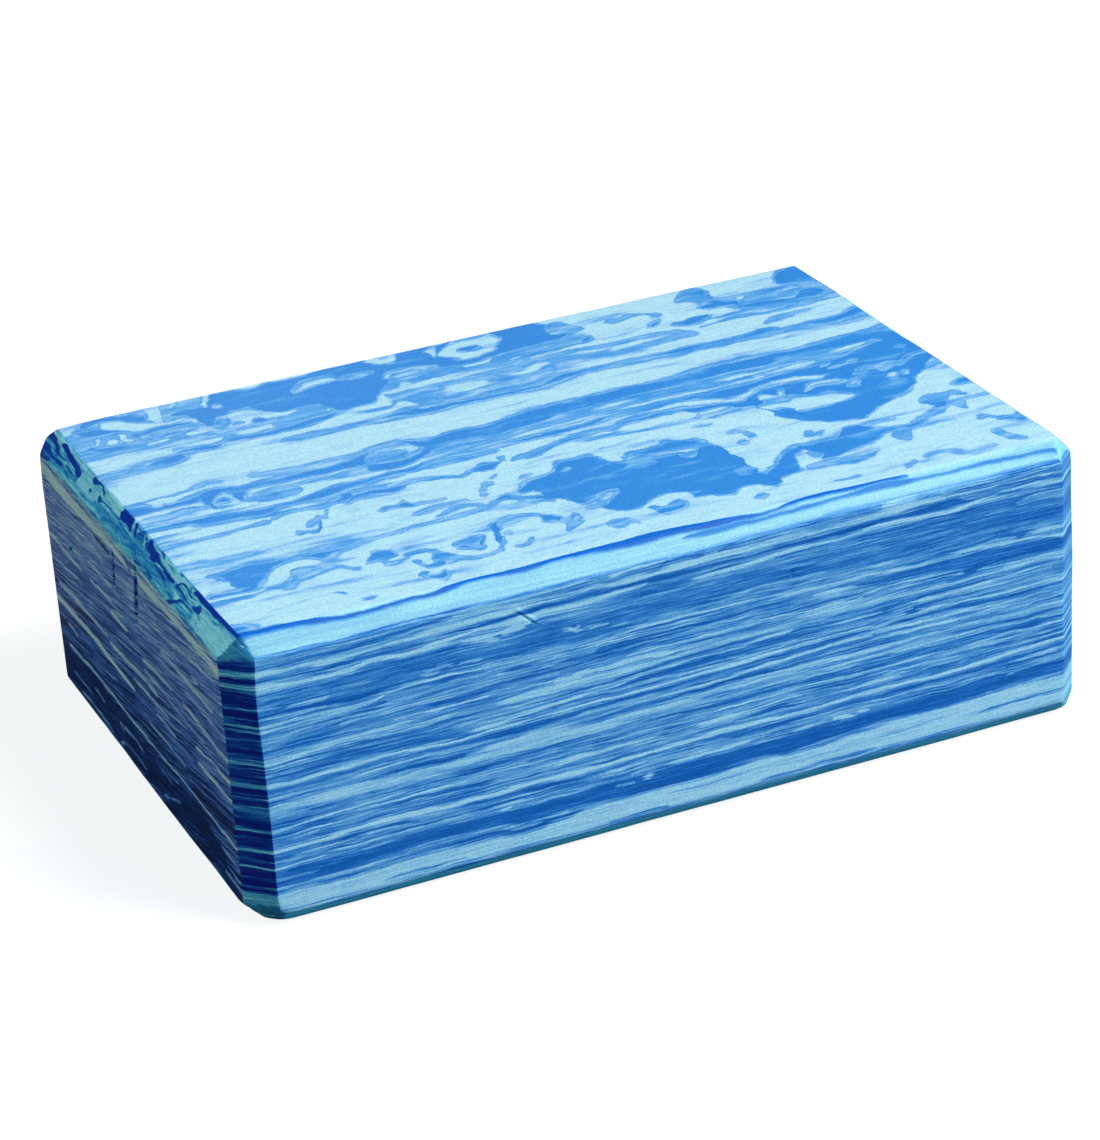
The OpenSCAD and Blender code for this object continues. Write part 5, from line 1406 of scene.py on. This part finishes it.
def noise(vector, stretch, detail=2.0, roughness=0.5, color=False):
    """Noise whose features are about stretch millimetres long in x, y and z."""
    scaled = bench.vec("MULTIPLY", vector, tuple(1.0 / s for s in stretch))
    made = bench.node("ShaderNodeTexNoise",
                      {"Vector": scaled, "Scale": 1.0, "Detail": detail, "Roughness": roughness},
                      noise_dimensions="3D")
    return made.outputs["Color" if color else "Fac"]


stir_slow = bench.vec("MULTIPLY_ADD", noise(mm_place, (9, 6, 5), 1.0, 0.5, True), (4.0, 2.6, 0.9),
                      (-2.0, -1.3, -0.45))
stir_fine = bench.vec("MULTIPLY_ADD", noise(mm_place, (2.6, 1.7, 0.9), 3.0, 0.62, True),
                      (2.0, 1.3, 0.44), (-1.0, -0.65, -0.22))
stirred = bench.vec("ADD", mm_place, bench.vec("ADD", stir_slow, stir_fine))
plain_x, plain_y, plain_z = bench.split(mm_place)
x, y, z = bench.split(stirred)
print("stirring:", len(foam.node_tree.nodes), "nodes")

# %% Tone of the top
# The underside is the same cut from lower in the bun: it reads the top's lenses turned half
# round, and stirred far more, so that the two faces aren't twins.
upper_half = bench.sum("GREATER_THAN", plain_z, 38.0)
turn = bench.times_plus(upper_half, 2.0, -1.0)
swirl = bench.vec("MULTIPLY_ADD", noise(mm_place, (26, 20, 60), 1.0, 0.5, True), (34.0, 26.0, 0.0),
                  (-17.0, -13.0, 0.0))
swirl = bench.vec("SCALE", swirl, None, bench.minus(1.0, upper_half))
swirled = bench.split(bench.vec(
    "ADD", bench.join(bench.times(x, turn), bench.times(y, turn), z), swirl))
top_x, top_y = swirled[0], swirled[1]
top_place = bench.join(top_x, top_y, 0.0)
cloud = noise(top_place, (44, 5.5, 9), 2.5, 0.5)
streaky = bench.sum(
    "MAXIMUM", bench.ease(bench.absolute(bench.plus(top_y, 3.0)), 15.0, 9.0, 0.16, 0.52),
    bench.ease(bench.absolute(bench.minus(top_y, 38.0)), 13.0, 8.0, 0.16, 0.46))
top_tone = bench.times(bench.ease(cloud, 0.40, 0.70), streaky)
top_rows = 0
for group, grow in (([TOP_MASSES, TOP_DEEP], 0.55), ([TOP_BANDS, TOP_PALE], 0.25),
                    ([TOP_LINES, TOP_GLINTS], 0.10)):
    top_tone, used = lay_lenses(bench, top_tone, group, top_x, top_y, grow)
    top_rows += used


def feathered(tone, rough, everywhere, halfway):
    """Adds noise to a tone, and more of it where the tone is halfway between its ends."""
    middle = bench.times(tone, bench.minus(1.0, tone))
    strength = bench.times_plus(middle, 4.0 * halfway, everywhere)
    return bench.times_plus(bench.minus(rough, 0.5), strength, tone)


def banded(tone, rough, turns, height):
    """Adds thin lines that follow the edges of the shapes, where the tone is changing."""
    wave = bench.sum("SINE", bench.times_plus(tone, turns * 2 * math.pi, bench.times(rough, 7.0)))
    middle = bench.times(tone, bench.minus(1.0, tone))
    return bench.times_plus(wave, bench.times(middle, 4.0 * height), tone)


wash = noise(top_place, (20, 4.5, 9), 3.0, 0.5)
top_tone = bench.plus(top_tone, bench.times_plus(wash, 0.9, -0.38))
flow = noise(top_place, (46, 4.5, 9), 2.0, 0.45)
top_tone = banded(top_tone, flow, 1.6, 0.26)
mottle = noise(top_place, (9, 1.9, 3), 3.5, 0.58)
top_tone = bench.sum("MINIMUM", feathered(top_tone, mottle, 0.36, 0.8), 0.94)

# The long bevels cut down through thin layers, so they show fine straight streaks. Only
# the line along the rim may use the deepest tone.
bevel_streaks = noise(mm_place, (34, 0.8, 1.4), 3.0, 0.6)
top_tone = bench.blend(bench.ease(bench.absolute(plain_y), 71.8, 72.6), top_tone,
                       bench.ease(bevel_streaks, 0.34, 0.68, 0.0, 0.30))
calm_y = bench.blend(0.35, plain_y, y)
top_tone, used = lay_lenses(bench, top_tone, [FRONT_BEVEL], plain_x, calm_y)
top_rows += used
print("top:", top_rows, "rows,", len(foam.node_tree.nodes), "nodes so far")

# %% Tone of the sides
# Round the block the streaks follow on: the place along them runs from one end of the long
# side to the other, is carried over the short ends, and comes back along the far side.
width_part = bench.times(plain_y, -1.0 / 76.2)
side_along = bench.times(x, width_part)
far_in = bench.ease(plain_y, -74.0, -30.0)
drift = bench.vec("MULTIPLY_ADD", noise(mm_place, (80, 60, 60), 1.0, 0.5, True), (60.0, 0.0, 9.0),
                  (-30.0, 0.0, -4.5))
drift = bench.split(bench.vec("SCALE", drift, None, far_in))
# Thin layers slide along the block over one another, which draws blunt ends out to wisps.
slide = bench.times_plus(noise(mm_place, (60, 60, 0.9), 2.0, 0.6), 8.0, -4.0)
side_x = bench.plus(bench.plus(side_along, slide), drift[0])
side_z = bench.plus(z, drift[2])
side_place = bench.join(side_x, plain_y, side_z)
fibre = noise(side_place, (34, 34, 0.95), 3.0, 0.62)
side_tone = bench.ease(fibre, 0.34, 0.66, 0.22, 0.92)
side_tone, side_rows = lay_lenses(
    bench, side_tone, [SIDE_BANDS, SIDE_DEEP, SIDE_PALE], side_x, side_z)
side_tone = banded(side_tone, noise(side_place, (40, 40, 2.4), 2.0, 0.5), 1.7, 0.16)
hair = noise(side_place, (12, 12, 0.36), 4.0, 0.68)
side_tone = feathered(side_tone, hair, 1.1, 1.3)
print("sides:", side_rows, "rows,", len(foam.node_tree.nodes), "nodes so far")

# %% Tone of the ends and of the bevels over them
# The far end is the near one in a mirror, shifted by slow noise.
past_middle = bench.sum("GREATER_THAN", plain_x, 0.0)
mirror = bench.times_plus(past_middle, -2.0, 1.0)
end_shift = bench.vec("MULTIPLY_ADD", noise(mm_place, (60, 50, 70), 1.0, 0.5, True),
                      (0.0, 60.0, 12.0), (0.0, -30.0, -6.0))
end_shift = bench.split(bench.vec("SCALE", end_shift, None, past_middle))
end_y = bench.times_plus(y, mirror, end_shift[1])
end_z = bench.plus(z, end_shift[2])
end_place = bench.join(plain_x, end_y, bench.times_plus(end_y, 0.14, end_z))
end_fibre = noise(end_place, (34, 30, 0.8), 3.0, 0.66)
# The end's tone deepens from its top down towards its foot: painted shade.
end_tone = bench.plus(
    bench.ease(end_z, 66.0, 12.0, 0.56, 0.93), bench.ease(end_fibre, 0.34, 0.66, 0.20, -0.28))
end_tone, end_rows = lay_lenses(
    bench, end_tone, [END_BANDS, END_PALE], end_y, end_z, 0.20)
end_hair = noise(end_place, (12, 13, 0.34), 3.0, 0.7)
end_tone = feathered(end_tone, end_hair, 1.0, 0.9)

# slope is how far up the bevel a point lies, in tenths: 0 at its foot and 10 at its rim.
# Going up it, z grows and |x| shrinks, each by its setback of 5.1 mm.
SLOPE_FOOT, SLOPE_TENTH = 43.2, 1.02
slope = bench.sum(
    "DIVIDE", bench.minus(bench.plus(end_z, SLOPE_FOOT), bench.absolute(plain_x)), SLOPE_TENTH)
slope_place = bench.join(end_y, slope, plain_x)
slope_cloud = noise(slope_place, (14, 1.6, 30), 3.0, 0.6)
bevel_tone = bench.ease(slope_cloud, 0.34, 0.66, 0.10, 0.62)
bevel_tone, bevel_rows = lay_lenses(
    bench, bevel_tone, [END_BEVEL, END_BEVEL_MARKS, END_BEVEL_GLINTS], end_y, slope)
slope_hair = noise(slope_place, (4, 0.6, 20), 3.0, 0.6)
bevel_tone = feathered(bevel_tone, slope_hair, 0.3, 0.8)
print("ends:", end_rows, "and", bevel_rows, "rows,", len(foam.node_tree.nodes), "nodes so far")

# %% Where each face's tone holds
# The top begins where the long bevels end, 4.3 mm under 76.2. The block's own normal tells
# the ends, their bevels and the upright bevels apart.
on_top = bench.ease(plain_z, 71.7, 72.3)
on_bottom = bench.ease(plain_z, 0.30, 0.12)
on_face = bench.sum("MAXIMUM", on_top, on_bottom)
facing = bench.split(bench.node("ShaderNodeTexCoord").outputs["Normal"])
on_end = bench.ease(bench.absolute(facing[0]), 0.86, 0.92)
near_end = bench.sum("GREATER_THAN", bench.absolute(plain_x), 105.0)
on_slope = bench.times(
    near_end, bench.ease(bench.absolute(bench.times(facing[0], facing[2])), 0.20, 0.30))
uprights = bench.ease(bench.absolute(bench.times(facing[0], facing[1])), 0.20, 0.30)
shaded_upright = bench.times(uprights, bench.sum("LESS_THAN", plain_x, -107.0))
lit_far_upright = bench.times(uprights, bench.sum("GREATER_THAN", plain_x, 107.0))
# The corner facets cut deepest. Those at the near end take a deep tone, painted shade, and those at
# the far end a pale one, painted light.
on_corner = bench.ease(
    bench.absolute(bench.times(facing[1], bench.times(facing[0], facing[2]))), 0.07, 0.13)
on_corner = bench.times(on_corner, near_end)
on_slope = bench.sum("MAXIMUM", on_slope, on_corner)
corner_tone_lit_and_shaded = bench.times_plus(
    past_middle, -0.46, bench.ease(slope_hair, 0.3, 0.7, 0.54, 0.78))
bevel_tone = bench.blend(on_corner, bevel_tone, corner_tone_lit_and_shaded)
print("faces told apart:", len(foam.node_tree.nodes), "nodes so far")

# %% [markdown]
# ## Colour from tone
#
# Pigment foam isn't a mix of two colours along a straight line. From pale to deep the red
# fades first, then the green, and the blue hardly at all. A face that was cut along the
# layers also shows another blue than one that was cut across them. So each kind of face has
# a Color Ramp of its own with several stops, and not a plain Mix of two colours. The ramps
# of the near end and of the near upright bevels also carry painted shade: they run darker
# than the side's.

# %% Colour ramps


def ramp_of(stops, fraction):
    """A Color Ramp. Each stop is (tone, its sRGB colour)."""
    made = bench.node("ShaderNodeValToRGB", {"Fac": fraction})
    band = made.color_ramp
    band.interpolation = "LINEAR"
    band.elements[0].position, band.elements[1].position = stops[0][0], stops[-1][0]
    for where, _ in stops[1:-1]:
        band.elements.new(where)
    for element, (_, color) in zip(band.elements, stops):
        element.color = paint_color(*color)
    return made.outputs[0]


TOP_STOPS = [
    (0.00, (190, 237, 253)), (0.13, (173, 224, 250)), (0.27, (164, 213, 249)),
    (0.42, (140, 199, 247)), (0.60, (102, 178, 241)), (0.80, (74, 162, 236)),
    (0.94, (54, 146, 230)), (1.00, (18, 110, 212)),
]
SIDE_STOPS = [
    (0.00, (192, 236, 250)), (0.15, (170, 221, 245)), (0.35, (134, 196, 236)),
    (0.55, (98, 168, 225)), (0.75, (62, 139, 213)), (0.90, (40, 118, 200)),
    (1.00, (24, 100, 184)),
]
# The near end's ramp is painted shade: its deep tones are darker than the side's, and its pale ones
# warmer, to offset the cool light on that end.
SHADED_END_STOPS = [
    (0.00, (254, 244, 240)), (0.18, (230, 226, 230)), (0.36, (164, 180, 222)),
    (0.56, (108, 134, 218)), (0.74, (62, 101, 188)), (0.88, (20, 58, 140)),
    (1.00, (0, 18, 78)),
]
BEVEL_STOPS = [
    (0.00, (182, 242, 255)), (0.20, (154, 228, 248)), (0.40, (104, 198, 232)),
    (0.60, (44, 148, 212)), (0.80, (12, 92, 188)), (1.00, (2, 50, 174)),
]
# The near upright bevels' ramp is painted shade: it runs darker than the side's.
SHADED_UPRIGHT_STOPS = [
    (0.00, (180, 240, 236)), (0.18, (144, 212, 220)), (0.36, (76, 152, 196)),
    (0.56, (28, 102, 176)), (0.76, (6, 58, 150)), (1.00, (0, 22, 120)),
]
all_stops = (TOP_STOPS, SIDE_STOPS, SHADED_END_STOPS, BEVEL_STOPS, SHADED_UPRIGHT_STOPS)
print("stops of the five ramps:", [len(stops) for stops in all_stops])

# %% Colour of each face
# Every face's colour is its ramp's, made a little lighter or darker cell by cell.
grain = noise(mm_place, (0.55, 0.55, 0.4), 2.0, 0.7)
grain_tint = bench.join(*[bench.ease(grain, 0.25, 0.75, 0.84, 1.12)] * 3)
top_color = bench.tint(1.0, ramp_of(TOP_STOPS, top_tone), grain_tint, "MULTIPLY")
# The long bevels are tinted darker and greener: partly the deeper blue of layers cut across, partly
# painted shade.
long_bevel_deep_and_shaded = bench.ease(bench.absolute(plain_y), 71.2, 72.4)
top_color = bench.tint(long_bevel_deep_and_shaded, top_color, (0.65, 0.82, 0.78, 1.0), "MULTIPLY")
# The near upright bevels take that darker ramp at a deeper tone: painted shade.
long_color = bench.tint(shaded_upright, ramp_of(SIDE_STOPS, side_tone),
                        ramp_of(SHADED_UPRIGHT_STOPS, bench.times_plus(side_tone, 1.0, 0.24)))
# The far upright bevels are tinted lighter and more cyan: painted light.
long_color = bench.tint(lit_far_upright, long_color, (0.82, 1.06, 1.06, 1.0), "MULTIPLY")
# The bevel round the foot is painted a bright cyan: painted light, standing in for light thrown up
# onto it from the floor.
painted_bounce_on_foot = bench.times(bench.ease(plain_z, 3.7, 2.7), bench.ease(fibre, 0.30, 0.70, 1.0, 0.62))
long_color = bench.tint(painted_bounce_on_foot, long_color, paint_color(116, 242, 255))
side_color = bench.tint(1.0, long_color, grain_tint, "MULTIPLY")
# The near end, which stands in shade, takes the ramp painted for that shade; the far end takes
# mostly the side's ramp.
end_color = bench.tint(
    bench.times(past_middle, 0.85), ramp_of(SHADED_END_STOPS, end_tone), ramp_of(SIDE_STOPS, end_tone))
end_color = bench.tint(1.0, end_color, grain_tint, "MULTIPLY")
# The dents on an end are tinted a deeper blue, the more the deeper they lie.
worn = bench.node("ShaderNodeAttribute", attribute_name="Worn").outputs["Fac"]
end_color = bench.tint(worn, end_color, (0.30, 0.46, 0.72, 1.0), "MULTIPLY")
bevel_color = bench.tint(1.0, ramp_of(BEVEL_STOPS, bevel_tone), grain_tint, "MULTIPLY")
# The near end's corner facets are also tinted darker and warmer: painted shade.
shaded_near_corner = bench.times(on_corner, bench.minus(1.0, past_middle))
bevel_color = bench.tint(shaded_near_corner, bevel_color, (0.94, 0.76, 0.60, 1.0), "MULTIPLY")
print("coloured:", len(foam.node_tree.nodes), "nodes so far")

# %% Cells, gloss and the finished surface
cells = bench.node("ShaderNodeTexVoronoi",
                   {"Vector": bench.vec("MULTIPLY", mm_place, (2.0, 2.0, 2.6)), "Scale": 1.0})
relief = bench.times_plus(cells.outputs["Distance"], 0.5, bench.times(grain, 0.8))
bump = bench.node("ShaderNodeBump", {"Height": relief, "Strength": 0.25, "Distance": 0.25 * MM})


def foam_skin(color):
    return bench.node("ShaderNodeBsdfPrincipled",
                      {"Base Color": color, "Roughness": 0.45, "Specular IOR Level": 0.14,
                       "IOR": 1.45, "Normal": bump.outputs[0]}).outputs[0]


# Mixing finished skins, and not colours, lets Cycles skip the trees that aren't seen.
skin = foam_skin(side_color)
for where, color in ((on_end, end_color), (on_face, top_color), (on_slope, bevel_color)):
    mixed = bench.node("ShaderNodeMixShader", {0: where, 1: skin, 2: foam_skin(color)})
    skin = mixed.outputs[0]
bench.node("ShaderNodeOutputMaterial", {"Surface": skin})
print("foam material:", len(foam.node_tree.nodes), "nodes")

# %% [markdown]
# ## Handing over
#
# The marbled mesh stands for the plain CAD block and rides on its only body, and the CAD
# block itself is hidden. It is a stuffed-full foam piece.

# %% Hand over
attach(block, "root")
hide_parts("foam_block")
